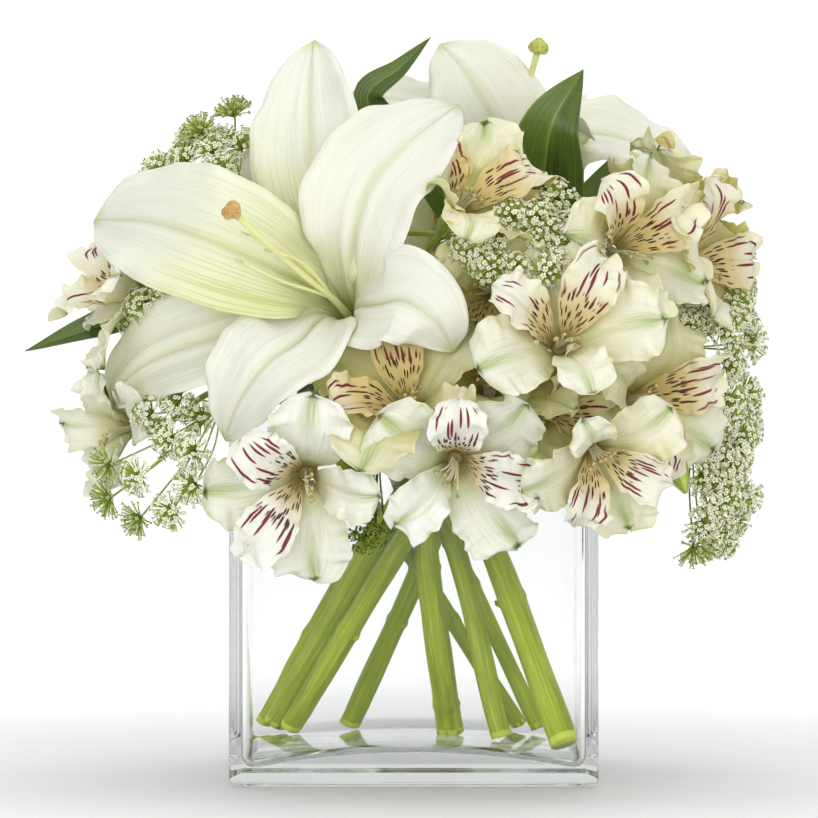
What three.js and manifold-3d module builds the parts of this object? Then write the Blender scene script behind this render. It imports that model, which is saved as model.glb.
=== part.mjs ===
// A hand-tied bunch of lilies, alstroemerias and lace flowers in a glass cube vase.
// Millimetres, +Z up. The origin is on the table under the middle of the vase,
// and the bunch is seen from the front, looking along +Y.
import * as THREE from 'three';
import { mergeVertices } from 'three/addons/utils/BufferGeometryUtils.js';
import loadManifold from 'manifold-3d';

const wasm = await loadManifold();
wasm.setup();

// ---------- driving dimensions ----------

const GAP = 0.3; // clear space between neighbouring pieces
const SEAT = 0.4; // clear space between the end of a stalk and what it carries

const VASE_SIDE = 127;
const VASE_HEIGHT = 127;
const VASE_WALL = 4.5;
const VASE_FLOOR = 11.5;
const VASE_CORNER = 5;
const VASE_INNER_CORNER = 4;
const VASE_FOOT_ROUND = 2;
const VASE_RIM_ROUND = 1.6;
const VASE_FLOOR_FILLET = 3.5;
const CORNER_STEPS = 5;
const ROUND_STEPS = 3; // steps in the rounding of the foot, rim and floor

const STEM_SIDES = 8;
const STEM_STEP = 22; // length of one straight stretch of a stem
const STALK_SIDES = 4;
const STALK_STEPS = 4;
const STALK_RADIUS = 1.3;
const STALK_FOOT_RADIUS = 1.8; // where the stalk leaves its stem
const STALK_LEAD = 9; // last straight stretch before a flower

const LILY_TEPAL_SHAPE = [0.1, 0.34, 0.78, 1, 0.96, 0.66, 0.08]; // half widths along it, as shares
const LILY_TEPAL_THICKNESS = 1.5;
const LILY_TEPAL_CUP = 0.3;
const LILY_TEPAL_STEPS = 6;
const LILY_TEPAL_START = 0.3; // where a tepal leaves the receptacle, as a share of base to throat
const LILY_TEPAL_OFFSET = 2.4; // how far from the middle line it starts
const LILY_RECEPTACLE_SHARES = [0, 0.12, 0.4]; // of the way from base to throat
const LILY_RECEPTACLE_RADII = [2.6, 3.6, 2.2];
const LILY_STYLE_RADII = [1.6, 1.3, 1.3];
const LILY_STIGMA_RADII = [1.2, 4, 2.4];
const LILY_STIGMA_PLACES = [-4, 0, 3]; // before, at and past the end of the style
const LILY_FILAMENT_RADII = [0.9, 0.7];

const BLOOM_PETAL_SHAPE = [0.13, 0.7, 1, 0.45];
const BLOOM_PETAL_THICKNESS = 1.2;
const BLOOM_PETAL_CUP = 0.12;
const BLOOM_PETAL_STEPS = 3;
const BLOOM_PETAL_ROOT = { out: 2.6, rise: -7 }; // inside the tube
const BLOOM_PETAL_LEAN = { forward: 0.8, inward: 0.6 }; // which way a petal's face looks
const BLOOM_OVARY_LENGTH = 20; // throat to the end of the green ovary
const BLOOM_OVARY_RADII = [1.8, 3.4, 4.2];
const BLOOM_TUBE_DEPTH = 4;

const RAY_RADIUS = 0.55;
const RAY_SIDES = 3;
const HUB_RADII = [1.2, 1.8];
const HUB_LENGTH = 3;
const TUFT_HEIGHT = 4.5;
const TUFT_FOOT = 0.5; // radius of a tuft's underside, as a share of its top
const TUFT_SIDES = 4;

const LEAF_SHAPE = [0.15, 0.6, 0.95, 1, 0.75, 0.4, 0.06];
const LEAF_THICKNESS = 1.1;
const LEAF_CUP = 0.35;
const LEAF_STEPS = 6;

const BUD_RADII = [1.4, 4, 0.8];

const SPINE_DEPTH = 0.4; // how deep in a blade's dish its spine lies, as a share
const TWO_RIBS = [-0.45, 0.45];
const ONE_RIB = [0];
const SAME_PLACE = 1e-5; // corners nearer than this are one corner
const GRIDS = [0.05, 0.03, 0.02, 0.01, 0.004]; // spacing that corners may be rounded to, coarsest first

// ---------- colours ----------

const GLASS = { color: 0xe9efec, roughness: 0.05, metalness: 0, transparent: true, opacity: 0.35 };
const STEM_GREEN = { color: 0x86a83a, roughness: 0.45, metalness: 0 };
const LEAF_GREEN = { color: 0x48691f, roughness: 0.5, metalness: 0 };
const LILY_WHITE = { color: 0xf3f2e6, roughness: 0.5, metalness: 0 };
const LILY_HEART = { color: 0xcdd28c, roughness: 0.5, metalness: 0 };
const BLOOM_WHITE = { color: 0xeeeadb, roughness: 0.55, metalness: 0 };
const LACE_CREAM = { color: 0xd9deb4, roughness: 0.7, metalness: 0 };
const BUD_GREEN = { color: 0xa3c04e, roughness: 0.5, metalness: 0 };

// ---------- closed solids from rings of points ----------

const point = (x, y, z) => new THREE.Vector3(x, y, z);
const points = (...list) => list.map(([x, y, z]) => point(x, y, z));
const direction = (x, y, z) => point(x, y, z).normalize();

// Signed volume of a triangle mesh: negative when its faces point inwards.
function signedVolume(vertices, triangles) {
  let volume = 0;
  for (const [a, b, c] of triangles) {
    const normal = vertices[b].clone().cross(vertices[c]);
    volume += vertices[a].dot(normal) / 6;
  }
  return volume;
}

// Joins equal-sized rings of points into one closed solid, with a fan over each end ring.
// The rings are convex, so a fan from their first point closes them.
function loft(rings) {
  const count = rings[0].length;
  const vertices = rings.flat();
  const triangles = [];
  for (let ring = 0; ring < rings.length - 1; ring += 1) {
    for (let side = 0; side < count; side += 1) {
      const a = ring * count + side;
      const b = ring * count + ((side + 1) % count);
      triangles.push([a, b, b + count], [a, b + count, a + count]);
    }
  }
  const last = (rings.length - 1) * count;
  for (let side = 1; side < count - 1; side += 1) {
    triangles.push([0, side + 1, side]);
    triangles.push([last, last + side, last + side + 1]);
  }
  if (signedVolume(vertices, triangles) < 0) triangles.forEach((t) => t.reverse());
  const geometry = new THREE.BufferGeometry().setFromPoints(vertices);
  geometry.setIndex(triangles.flat());
  return solidFromGeometry(geometry);
}

// A solid for joining and cutting, from a closed three.js geometry.
function solidFromGeometry(source) {
  const bare = source.clone();
  bare.deleteAttribute('normal');
  bare.deleteAttribute('uv');
  const merged = mergeVertices(bare, SAME_PLACE);
  const mesh = new wasm.Mesh({
    numProp: 3,
    vertProperties: Float32Array.from(merged.attributes.position.array),
    triVerts: Uint32Array.from(merged.index.array),
  });
  mesh.merge();
  return new wasm.Manifold(mesh);
}

// A solid's geometry with its corners on the given grid, so that no sliver edges are left.
function griddedGeometry(solid, grid) {
  const { vertProperties, triVerts } = solid.getMesh();
  const corners = vertProperties.map((value) => Math.round(value / grid) * grid);
  const loose = new THREE.BufferGeometry();
  loose.setAttribute('position', new THREE.BufferAttribute(corners, 3));
  loose.setIndex(new THREE.BufferAttribute(triVerts, 1));
  const merged = mergeVertices(loose, grid / 4);
  const kept = [];
  for (let start = 0; start < merged.index.count; start += 3) {
    const [a, b, c] = [0, 1, 2].map((offset) => merged.index.getX(start + offset));
    if (a !== b && b !== c && c !== a) kept.push(a, b, c);
  }
  merged.setIndex(kept);
  return merged;
}

// Whether every edge of a geometry is shared by exactly two of its triangles.
function isClosed(geometry) {
  const edges = new Set();
  const corners = Array.from(geometry.index.array);
  for (let start = 0; start < corners.length; start += 3) {
    for (let side = 0; side < 3; side += 1) {
      const from = corners[start + side];
      const to = corners[start + ((side + 1) % 3)];
      const edge = `${from}>${to}`;
      if (edges.has(edge)) return false;
      edges.add(edge);
    }
  }
  return [...edges].every((edge) => edges.has(edge.split('>').reverse().join('>')));
}

// The coarsest gridded geometry that is still closed.
function tidyGeometry(solid) {
  const choices = GRIDS.map((grid) => griddedGeometry(solid, grid));
  return choices.find(isClosed) ?? choices[choices.length - 1];
}

// A round tube along a smooth line through the given points.
function tube(line, radii, sides, steps, grow = 0) {
  const curve = new THREE.CatmullRomCurve3(line, false, 'centripetal');
  const frames = curve.computeFrenetFrames(steps, false);
  const rings = [];
  for (let step = 0; step <= steps; step += 1) {
    const t = step / steps;
    const place = curve.getPointAt(t);
    if (step === 0) place.addScaledVector(frames.tangents[0], -grow);
    if (step === steps) place.addScaledVector(frames.tangents[steps], grow);
    const spread = t * (radii.length - 1);
    const low = Math.min(Math.floor(spread), radii.length - 2);
    const radius = THREE.MathUtils.lerp(radii[low], radii[low + 1], spread - low) + grow;
    const ring = [];
    for (let side = 0; side < sides; side += 1) {
      const angle = (2 * Math.PI * side) / sides;
      const corner = place.clone();
      corner.addScaledVector(frames.normals[step], radius * Math.cos(angle));
      corner.addScaledVector(frames.binormals[step], radius * Math.sin(angle));
      ring.push(corner);
    }
    rings.push(ring);
  }
  return loft(rings);
}

// A thin curved blade, for tepals, petals and leaves: it follows a spine, turns its
// inner face towards `facing`, and dishes by `cup` of its half width.
function blade({ spine, halfWidths, facing, cup, thickness, steps, ribs }, grow = 0) {
  const curve = new THREE.CatmullRomCurve3(spine, false, 'centripetal');
  const rings = [];
  for (let step = 0; step <= steps; step += 1) {
    const t = step / steps;
    const place = curve.getPointAt(t);
    const along = curve.getTangentAt(t);
    if (step === 0) place.addScaledVector(along, -grow);
    if (step === steps) place.addScaledVector(along, grow);
    const across = along.clone().cross(facing).normalize();
    const inward = across.clone().cross(along).normalize();
    const spread = t * (halfWidths.length - 1);
    const low = Math.min(Math.floor(spread), halfWidths.length - 2);
    const half = THREE.MathUtils.lerp(halfWidths[low], halfWidths[low + 1], spread - low);
    const section = (u, lift) => place.clone()
      .addScaledVector(across, u * (half + grow))
      .addScaledVector(inward, cup * half * (u * u - SPINE_DEPTH) + lift);
    const skin = thickness / 2 + grow;
    const upper = ribs.map((u) => section(u, skin));
    const lower = ribs.map((u) => section(-u, -skin));
    const left = grow > 0 ? [section(-1, -grow), section(-1, grow)] : [section(-1, 0)];
    const right = grow > 0 ? [section(1, grow), section(1, -grow)] : [section(1, 0)];
    rings.push([...left, ...upper, ...right, ...lower]);
  }
  return loft(rings);
}

// ---------- the vase ----------

// A square outline with rounded corners, as a ring of points at one height.
function roundedSquare(half, radius, z) {
  const ring = [];
  for (let corner = 0; corner < 4; corner += 1) {
    const start = (corner * Math.PI) / 2;
    const signX = corner === 0 || corner === 3 ? 1 : -1;
    const signY = corner < 2 ? 1 : -1;
    for (let step = 0; step <= CORNER_STEPS; step += 1) {
      const angle = start + (step / CORNER_STEPS) * (Math.PI / 2);
      const x = signX * (half - radius) + radius * Math.cos(angle);
      const y = signY * (half - radius) + radius * Math.sin(angle);
      ring.push(point(x, y, z));
    }
  }
  return ring;
}

function vaseSolid() {
  const outer = VASE_SIDE / 2;
  const inner = outer - VASE_WALL;
  const rings = [];
  const quarter = [];
  for (let step = 0; step <= ROUND_STEPS; step += 1) {
    quarter.push((step / ROUND_STEPS) * (Math.PI / 2));
  }
  quarter.forEach((angle) => {
    const inset = VASE_FOOT_ROUND * (1 - Math.sin(angle));
    const height = VASE_FOOT_ROUND * (1 - Math.cos(angle));
    rings.push(roundedSquare(outer - inset, VASE_CORNER, height));
  });
  quarter.forEach((angle) => {
    const inset = VASE_RIM_ROUND * (1 - Math.cos(angle));
    const height = VASE_HEIGHT - VASE_RIM_ROUND * (1 - Math.sin(angle));
    rings.push(roundedSquare(outer - inset, VASE_CORNER, height));
  });
  [...quarter].reverse().forEach((angle) => {
    const inset = VASE_RIM_ROUND * (1 - Math.cos(angle));
    const height = VASE_HEIGHT - VASE_RIM_ROUND * (1 - Math.sin(angle));
    rings.push(roundedSquare(inner + inset, VASE_INNER_CORNER, height));
  });
  quarter.forEach((angle) => {
    const inset = VASE_FLOOR_FILLET * (1 - Math.cos(angle));
    const height = VASE_FLOOR + VASE_FLOOR_FILLET * (1 - Math.sin(angle));
    rings.push(roundedSquare(inner - inset, VASE_INNER_CORNER, height));
  });
  return loft(rings);
}

// ---------- pieces of the bunch ----------

// A stem from the vase floor to its head, with a stalk to each flower it carries.
function stemSolid({ line, radii, stalks }, grow) {
  const length = new THREE.CatmullRomCurve3(line, false, 'centripetal').getLength();
  let solid = tube(line, radii, STEM_SIDES, Math.round(length / STEM_STEP), grow);
  const head = line[line.length - 1];
  stalks.forEach((route) => {
    const radii = [STALK_FOOT_RADIUS, STALK_RADIUS, STALK_RADIUS];
    solid = solid.add(tube([head, ...route], radii, STALK_SIDES, STALK_STEPS, grow));
  });
  return solid;
}

// The receptacle, ovary, style and stigma of a lily, with its bare filaments.
function lilyHeartSolid({ base, throat, style, filaments }, grow) {
  const receptacle = LILY_RECEPTACLE_SHARES.map((share) => base.clone().lerp(throat, share));
  let solid = tube(receptacle, LILY_RECEPTACLE_RADII, STEM_SIDES, 3, grow);
  const route = [receptacle[1], throat, ...style];
  solid = solid.add(tube(route, LILY_STYLE_RADII, 5, 5, grow));
  const end = route[route.length - 1];
  const onward = end.clone().sub(route[route.length - 2]).normalize();
  const stigma = LILY_STIGMA_PLACES.map((place) => end.clone().addScaledVector(onward, place));
  solid = solid.add(tube(stigma, LILY_STIGMA_RADII, 6, 3, grow));
  filaments.forEach((filament) => {
    const path = [receptacle[1], throat, ...filament];
    solid = solid.add(tube(path, LILY_FILAMENT_RADII, 3, 4, grow));
  });
  return solid;
}

function lilyTepalSolid({ halfWidth, spine, facing }, grow) {
  return blade({
    spine,
    halfWidths: LILY_TEPAL_SHAPE.map((share) => share * halfWidth),
    facing,
    cup: LILY_TEPAL_CUP,
    thickness: LILY_TEPAL_THICKNESS,
    steps: LILY_TEPAL_STEPS,
    ribs: TWO_RIBS,
  }, grow);
}

// Six petals round an ovary. `turn` is the way the striped side of the flower points,
// in degrees from the right-hand side towards the top as the flower faces the viewer.
const BLOOM_PETALS = [
  { angle: 0, reach: 34, lift: 5, halfWidth: 12.5 },
  { angle: 98, reach: 34, lift: 5, halfWidth: 12.5 },
  { angle: -98, reach: 35, lift: 5, halfWidth: 12.5 },
  { angle: 48, reach: 29, lift: 12, halfWidth: 8.5 },
  { angle: -48, reach: 28, lift: 12, halfWidth: 8.5 },
  { angle: 180, reach: 26, lift: 12, halfWidth: 8.5 },
];

// The two directions that a bloom's petals are turned from, square to its axis.
function bloomFrame(axis) {
  const up = point(0, 0, 1);
  up.addScaledVector(axis, -up.dot(axis)).normalize();
  const right = up.clone().cross(axis);
  return { up, right };
}

function bloomSolid({ throat, axis, turn, size = 1 }, grow) {
  const { up, right } = bloomFrame(axis);
  const base = throat.clone().addScaledVector(axis, -BLOOM_OVARY_LENGTH);
  const top = throat.clone().addScaledVector(axis, -BLOOM_TUBE_DEPTH * size);
  const ovary = [base, base.clone().lerp(top, 0.5), top];
  let solid = tube(ovary, BLOOM_OVARY_RADII, 5, 2, grow);
  BLOOM_PETALS.forEach(({ angle, reach, lift, halfWidth }) => {
    const way = THREE.MathUtils.degToRad(angle + turn);
    const outward = right.clone().multiplyScalar(Math.cos(way));
    outward.addScaledVector(up, Math.sin(way));
    const at = (out, rise) => throat.clone()
      .addScaledVector(outward, out * size)
      .addScaledVector(axis, rise * size);
    const spine = [
      at(BLOOM_PETAL_ROOT.out, BLOOM_PETAL_ROOT.rise),
      at(reach * 0.38, lift * 0.55),
      at(reach * 0.75, lift + 1),
      at(reach, lift),
    ];
    const facing = axis.clone().multiplyScalar(BLOOM_PETAL_LEAN.forward);
    facing.addScaledVector(outward, -BLOOM_PETAL_LEAN.inward);
    solid = solid.add(blade({
      spine,
      halfWidths: BLOOM_PETAL_SHAPE.map((share) => share * halfWidth * size),
      facing,
      cup: BLOOM_PETAL_CUP,
      thickness: BLOOM_PETAL_THICKNESS,
      steps: BLOOM_PETAL_STEPS,
      ribs: ONE_RIB,
    }, grow));
  });
  return solid;
}

// A lace flower: thin rays from one hub, each with a flat tuft of florets at its end.
function laceSolid({ hub, facing, tufts, tuftRadius }, grow) {
  const hubEnd = hub.clone().addScaledVector(facing, HUB_LENGTH);
  let solid = tube([hub, hubEnd], HUB_RADII, STALK_SIDES, 1, grow);
  tufts.forEach((tuft) => {
    solid = solid.add(tube([hubEnd, tuft], [RAY_RADIUS, RAY_RADIUS], RAY_SIDES, 1, grow));
    const outward = tuft.clone().sub(hub).normalize().add(facing).normalize();
    const ends = [-0.5, 0.5].map((share) => (
      tuft.clone().addScaledVector(outward, share * TUFT_HEIGHT)));
    solid = solid.add(tube(ends, [tuftRadius * TUFT_FOOT, tuftRadius], TUFT_SIDES, 1, grow));
  });
  return solid;
}

function leafSolid({ spine, halfWidth, facing }, grow) {
  return blade({
    spine,
    halfWidths: LEAF_SHAPE.map((share) => share * halfWidth),
    facing,
    cup: LEAF_CUP,
    thickness: LEAF_THICKNESS,
    steps: LEAF_STEPS,
    ribs: ONE_RIB,
  }, grow);
}

// An unopened flower bud, hanging from its stalk.
function budSolid(line, grow) {
  return tube(line, BUD_RADII, 6, 4, grow);
}

// ---------- where everything is ----------

// Where the stalk of a bloom ends: just short of the ovary.
function bloomSeat({ throat, axis }) {
  return throat.clone().addScaledVector(axis, -BLOOM_OVARY_LENGTH - SEAT);
}

const bloom = (throat, axis, turn, size) => (
  { throat: point(...throat), axis: direction(...axis), turn, size });

const BLOOMS = {
  bloom_top_left: bloom([17, -80, 201], [0.35, -0.6, 0.5], 60),
  bloom_top_right: bloom([92, -28, 200], [0.5, 0.35, 0.8], 20, 0.9),
  bloom_right_upper: bloom([72, -74, 184], [0.6, -0.75, 0.1], 78),
  bloom_right_rear: bloom([97, -44, 179], [0.85, -0.35, 0.1], 50),
  bloom_middle: bloom([50, -94, 154], [0.1, -0.85, 0.4], 105),
  bloom_under_lily: bloom([-2, -90, 133], [-0.1, -0.8, 0.5], 150),
  bloom_middle_left: bloom([26, -84, 137], [0.1, -0.7, 0.65], 80, 0.85),
  bloom_right: bloom([77, -69, 133], [0.55, -0.8, 0], -30),
  bloom_lower_middle: bloom([46, -80, 128], [0.55, -0.8, -0.1], 45, 0.9),
  bloom_lower_right: bloom([62, -95, 115], [0.3, -0.8, -0.4], -60, 0.85),
  bloom_front: bloom([14, -92, 111], [0, -0.92, -0.34], 43),
  bloom_front_left: bloom([-37, -90, 106], [-0.08, -0.92, -0.32], 180),
  bloom_left: bloom([-99, -44, 170], [-0.85, -0.25, 0.25], 190, 0.9),
  bloom_left_low: bloom([-102, -40, 122], [-0.8, -0.5, -0.1], 120, 0.8),
  bloom_centre: bloom([26, -76, 170], [-0.15, -0.95, -0.05], -60, 0.85),
  bloom_back_top: bloom([-40, 45, 208], [-0.35, 0.55, 0.75], 90),
  bloom_back_middle: bloom([12, 66, 190], [0, 0.85, 0.5], 20),
  bloom_back_right: bloom([72, 52, 162], [0.65, 0.7, 0.2], 140),
  bloom_back_left: bloom([-76, 48, 160], [-0.65, 0.7, 0.25], 60),
  bloom_back_low: bloom([-12, 80, 138], [-0.05, 0.95, 0], 200),
};

// The route of a stalk from its stem's head to a bloom, over the vase rim where it has to.
function stalkTo(name, ...over) {
  const seat = bloomSeat(BLOOMS[name]);
  if (over.length > 0) return [...points(...over), seat];
  return [seat.clone().addScaledVector(BLOOMS[name].axis, -STALK_LEAD), seat];
}

// A tepal starts on its own side of the receptacle, about a third of the way to the throat.
function tepalSpine({ base, throat }, rest) {
  const outward = rest[1].clone().sub(throat).normalize();
  const start = base.clone().lerp(throat, LILY_TEPAL_START).addScaledVector(outward, LILY_TEPAL_OFFSET);
  return [start, ...rest];
}

const lilyFront = {
  base: point(-15, -36, 151),
  throat: point(-27, -66, 167),
  style: points([-39, -82, 177], [-51, -95, 188], [-61, -104, 197]),
  filaments: [
    points([-44, -84, 184], [-58, -92, 190]),
    points([-46, -80, 174], [-60, -86, 181]),
    points([-38, -88, 180], [-50, -100, 184]),
  ],
};
const lilyFrontFacing = direction(-0.35, -0.85, 0.35);
const frontTepal = (halfWidth, facing, ...rest) => ({
  halfWidth,
  facing: facing ?? lilyFrontFacing,
  spine: tepalSpine(lilyFront, points(...rest)),
});
const LILY_FRONT_TEPALS = {
  right_upper: frontTepal(21, direction(-0.35, -0.9, 0.1), [-21, -70, 173],
    [-21, -84, 190], [-16, -86, 206], [-3, -74, 221], [16, -54, 235]),
  lower: frontTepal(20, direction(-0.3, -0.8, 0.45), [-31, -70, 162],
    [-40, -86, 155], [-51, -92, 147], [-60, -88, 134], [-65, -79, 119]),
  left: frontTepal(23.5, undefined, [-34, -66, 171],
    [-50, -80, 180], [-71, -80.5, 189], [-92, -62, 195], [-112, -36, 195]),
  upper: frontTepal(20.5, undefined, [-28, -64, 173],
    [-31, -72, 189], [-36, -64, 215], [-37, -48, 238], [-35, -32, 258]),
  right_lower: frontTepal(18, undefined, [-20, -70, 165],
    [-13, -88, 167], [-4, -97, 168], [5, -100, 162], [14, -92, 149]),
  left_lower: frontTepal(19, undefined, [-33, -64, 163],
    [-51, -73, 160], [-71, -70, 155], [-92, -56, 147], [-109, -38, 131]),
};

const lilyRear = {
  base: point(38, 10, 178),
  throat: point(40, 10, 214),
  style: points([40, 6, 238], [44, -6, 256]),
  filaments: [
    points([34, 0, 234], [28, -6, 244]),
    points([46, 16, 234], [52, 22, 244]),
  ],
};
const rearTepal = (halfWidth, facing, ...rest) => ({
  halfWidth,
  facing,
  spine: tepalSpine(lilyRear, points(...rest)),
});
const LILY_REAR_TEPALS = {
  upper_left: rearTepal(20, direction(0.1, -0.95, 0.2), [37, 5, 206],
    [28, -2, 232], [18, -2, 248], [9, 5, 258]),
  right: rearTepal(17, direction(-0.2, -0.7, 0.7), [44, 9, 205],
    [60, 2, 226], [80, 8, 224], [101, 18, 218]),
  rear: rearTepal(17, direction(0, -0.6, 0.8), [41, 14, 205],
    [44, 34, 232], [48, 56, 240], [52, 76, 228]),
  left: rearTepal(17, direction(0.3, -0.6, 0.75), [36, 8, 205],
    [22, 6, 228], [-2, 8, 238], [-26, 16, 240]),
  rear_left: rearTepal(17, direction(0.5, -0.4, 0.75), [37, 13, 206],
    [22, 30, 232], [4, 48, 240], [-12, 62, 232]),
  front: rearTepal(14, direction(-0.1, 0.5, 0.85), [42, 5, 206],
    [48, -8, 222], [56, -18, 228], [64, -24, 224]),
};

const STEMS = {
  stem_lily_front: {
    line: points([52, -53, 14.5], [20.5, -14, 96], [0, -24, 132], [-14.8, -35.5, 150.7]),
    radii: [5, 4.8, 4.2, 2.4],
    stalks: [],
  },
  stem_lily_rear: {
    line: points([-50, 41, 14], [-5, -3, 95], [22, 6, 140], [38, 10, 177.6]),
    radii: [4.7, 4.6, 4.2, 2.4],
    stalks: [],
  },
  stem_bloom_middle: {
    line: points([13, 10, 12.5], [4, -15, 90], [8, -26, 122]),
    radii: [4.7, 4.4, 3],
    stalks: [
      stalkTo('bloom_under_lily', [4, -50, 131], [1, -65, 131.5]),
      stalkTo('bloom_middle_left', [18, -48, 131], [23, -60, 132]),
      stalkTo('bloom_front', [11, -50, 130], [13, -66, 132]),
      stalkTo('bloom_centre'),
      points([-4, -50, 131], [-10, -62, 132], [-11, -68, 122]),
    ],
  },
  stem_bloom_right: {
    line: points([-44, 19, 14], [0, -18, 88], [34, -20, 138]),
    radii: [4, 3.9, 3],
    stalks: [
      stalkTo('bloom_right_upper'),
      stalkTo('bloom_middle'),
      stalkTo('bloom_right', [56, -46, 134]),
      stalkTo('bloom_lower_middle', [36, -40, 134]),
      stalkTo('bloom_lower_right', [46, -52, 133], [52, -62, 133]),
      stalkTo('bloom_right_rear'),
      points([60, -48, 137], [78, -62, 132], [85, -66, 117.4]),
    ],
  },
  stem_bloom_left: {
    line: points([31, -16, 13], [8, -7, 96], [-24, -14, 134]),
    radii: [3.8, 3.6, 2.6],
    stalks: [
      stalkTo('bloom_front_left', [-32, -44, 134], [-34, -62, 133]),
      stalkTo('bloom_left'),
      stalkTo('bloom_left_low', [-56, -26, 138], [-72, -30, 134]),
      stalkTo('bloom_back_left'),
    ],
  },
  stem_bloom_rear: {
    line: points([-23, 37, 13.5], [12, 6, 96], [26, 22, 150]),
    radii: [3.8, 3.6, 2.6],
    stalks: [
      stalkTo('bloom_top_left'),
      stalkTo('bloom_top_right'),
      stalkTo('bloom_back_middle'),
      stalkTo('bloom_back_right'),
      stalkTo('bloom_back_low'),
      stalkTo('bloom_back_top'),
    ],
  },
  stem_lace_right: {
    line: points([-55, 50, 13.5], [-9, 12, 92], [24, -6, 122], [62, -6, 138], [90, -24, 150]),
    radii: [3, 2.8, 2.2, 1.6, 1.4],
    stalks: [points([93, -27, 138], [95.5, -30, 125.8])],
  },
  stem_lace_left: {
    line: points([38, 41, 13.5], [-15, 2, 96], [-46, -28, 132], [-64, -56, 130.5]),
    radii: [3, 2.8, 2, 1.4],
    stalks: [],
  },
  stem_lace_top: {
    line: points([45, 22, 13.5], [6, 22, 96], [-20, 16, 150], [-40, 6, 182]),
    radii: [3, 2.8, 2, 1.4],
    stalks: [
      points([-50, 0, 196], [-60, -8, 205]),
      points([-42, 22, 178], [-44, 40, 176]),
      points([-58, -14, 172], [-77, -40, 163]),
      points([-10, -30, 190], [20, -50, 188], [42, -56, 182]),
    ],
  },
};

const LACE = {
  lace_top_left: {
    hub: point(-60.3, -8.2, 205.5),
    facing: direction(-0.4, -0.2, 0.9),
    tuftRadius: 6.5,
    tufts: points([-76, -30, 229], [-64, -20, 236], [-82, -28, 219], [-72, -32, 222],
      [-92, -18, 215], [-61, -28, 224], [-86, -6, 213], [-70, 0, 226]),
  },
  lace_right: {
    hub: point(90.4, -24.3, 150.2),
    facing: direction(0.8, -0.5, 0.2),
    tuftRadius: 7,
    tufts: points([116, -20, 184], [99, -50, 169], [110, -46, 158], [96, -56, 160],
      [116, -28, 167], [112, -46, 145], [121, -22, 153], [118, -8, 172]),
  },
  lace_right_low: {
    hub: point(95.7, -30.2, 125.4),
    facing: direction(0.6, -0.7, -0.4),
    tuftRadius: 6.5,
    tufts: points([111, -55, 132], [119, -30, 134], [116, -45, 119], [112, -50, 107],
      [117, -38, 96], [109, -55, 96], [100, -60, 88], [98, -58, 79], [108, -45, 81], [120, -20, 120]),
  },
  lace_left: {
    hub: point(-64.3, -56.5, 130.2),
    facing: direction(-0.6, -0.7, 0.1),
    tuftRadius: 6.5,
    tufts: points([-108, -66, 110], [-108, -62, 98], [-97, -74, 106], [-97, -70, 91],
      [-85, -78, 94], [-77, -84, 103], [-94, -62, 128], [-86, -74, 119], [-77, -84, 115],
      [-84, -66, 134]),
  },
  lace_left_upper: {
    hub: point(-77.3, -40.4, 163.2),
    facing: direction(-0.7, -0.6, 0.2),
    tuftRadius: 5.5,
    tufts: points([-97, -56, 166], [-88, -58, 173], [-100, -44, 160], [-94, -36, 176]),
  },
  lace_middle: {
    hub: point(42.4, -56.4, 182.3),
    facing: direction(0.1, -0.9, 0.3),
    tuftRadius: 6,
    tufts: points([17, -88, 186], [25, -92, 179], [33, -84, 197], [42, -84, 197], [50, -74, 204],
      [54, -88, 187], [60, -88, 180], [45, -94, 177], [62, -80, 190]),
  },
  lace_back: {
    hub: point(-44.3, 40.5, 176.2),
    facing: direction(-0.5, 0.7, 0.4),
    tuftRadius: 6.5,
    tufts: points([-60, 62, 196], [-74, 44, 192], [-50, 70, 180], [-66, 62, 176], [-80, 32, 188],
      [-40, 62, 196]),
  },
  lace_sprig: {
    hub: point(-11.2, -68.6, 121.6),
    facing: direction(0, -0.2, -1),
    tuftRadius: 3.4,
    tufts: points([-20, -78, 86], [-13, -80, 84], [-16, -74, 92]),
  },
};

const LEAVES = {
  leaf_top_left: {
    spine: points([32.6, 8.7, 165], [8, -4, 208], [-16, -22, 238], [-5, -18, 248], [6, -12, 259]),
    halfWidth: 8,
    facing: direction(0.2, -0.9, 0.3),
  },
  leaf_top_right: {
    spine: points([37, 9.7, 174.5], [41, -8, 190], [45, -25, 210], [48, -34, 228], [59, -28, 247]),
    halfWidth: 15.5,
    facing: direction(-0.1, -1, -0.2),
  },
  leaf_left: {
    spine: points([-16, -26, 146], [-50, -24, 162], [-85, -22, 166], [-110, -25, 158], [-136, -18, 149]),
    halfWidth: 9,
    facing: direction(0, -0.85, 0.5),
  },
  leaf_middle: {
    spine: points([28.5, 7.5, 155], [29, -14, 168], [33, -32, 184], [40, -43, 206]),
    halfWidth: 15,
    facing: direction(0, -0.9, -0.5),
  },
  leaf_neck: {
    spine: points([0, -18, 90], [-6, -30, 105], [-14, -43, 112], [-21, -50, 103]),
    halfWidth: 5.5,
    facing: direction(0, -0.1, 1),
  },
  leaf_back: {
    spine: points([25.5, 21, 147], [50, 46, 184], [66, 62, 204], [76, 68, 222]),
    halfWidth: 14,
    facing: direction(-0.3, -0.5, 0.8),
  },
};

const BUD = points([86, -66, 117], [89.5, -67.5, 109], [93, -68, 101]);

// ---------- building ----------

const pieces = [];

// Each piece is cut back wherever an earlier piece, with the gap round it, is in the way.
function addPiece(name, make, look) {
  let solid = make(0);
  const box = solid.boundingBox();
  pieces.forEach((earlier) => {
    const apart = [0, 1, 2].some((axis) => (
      earlier.box.min[axis] - GAP > box.max[axis] || earlier.box.max[axis] + GAP < box.min[axis]));
    if (!apart) solid = solid.subtract(earlier.grown);
  });
  const largest = solid.decompose().sort((a, b) => b.volume() - a.volume())[0];
  pieces.push({ name, solid: largest, grown: make(GAP), box: largest.boundingBox(), look });
}

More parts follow.
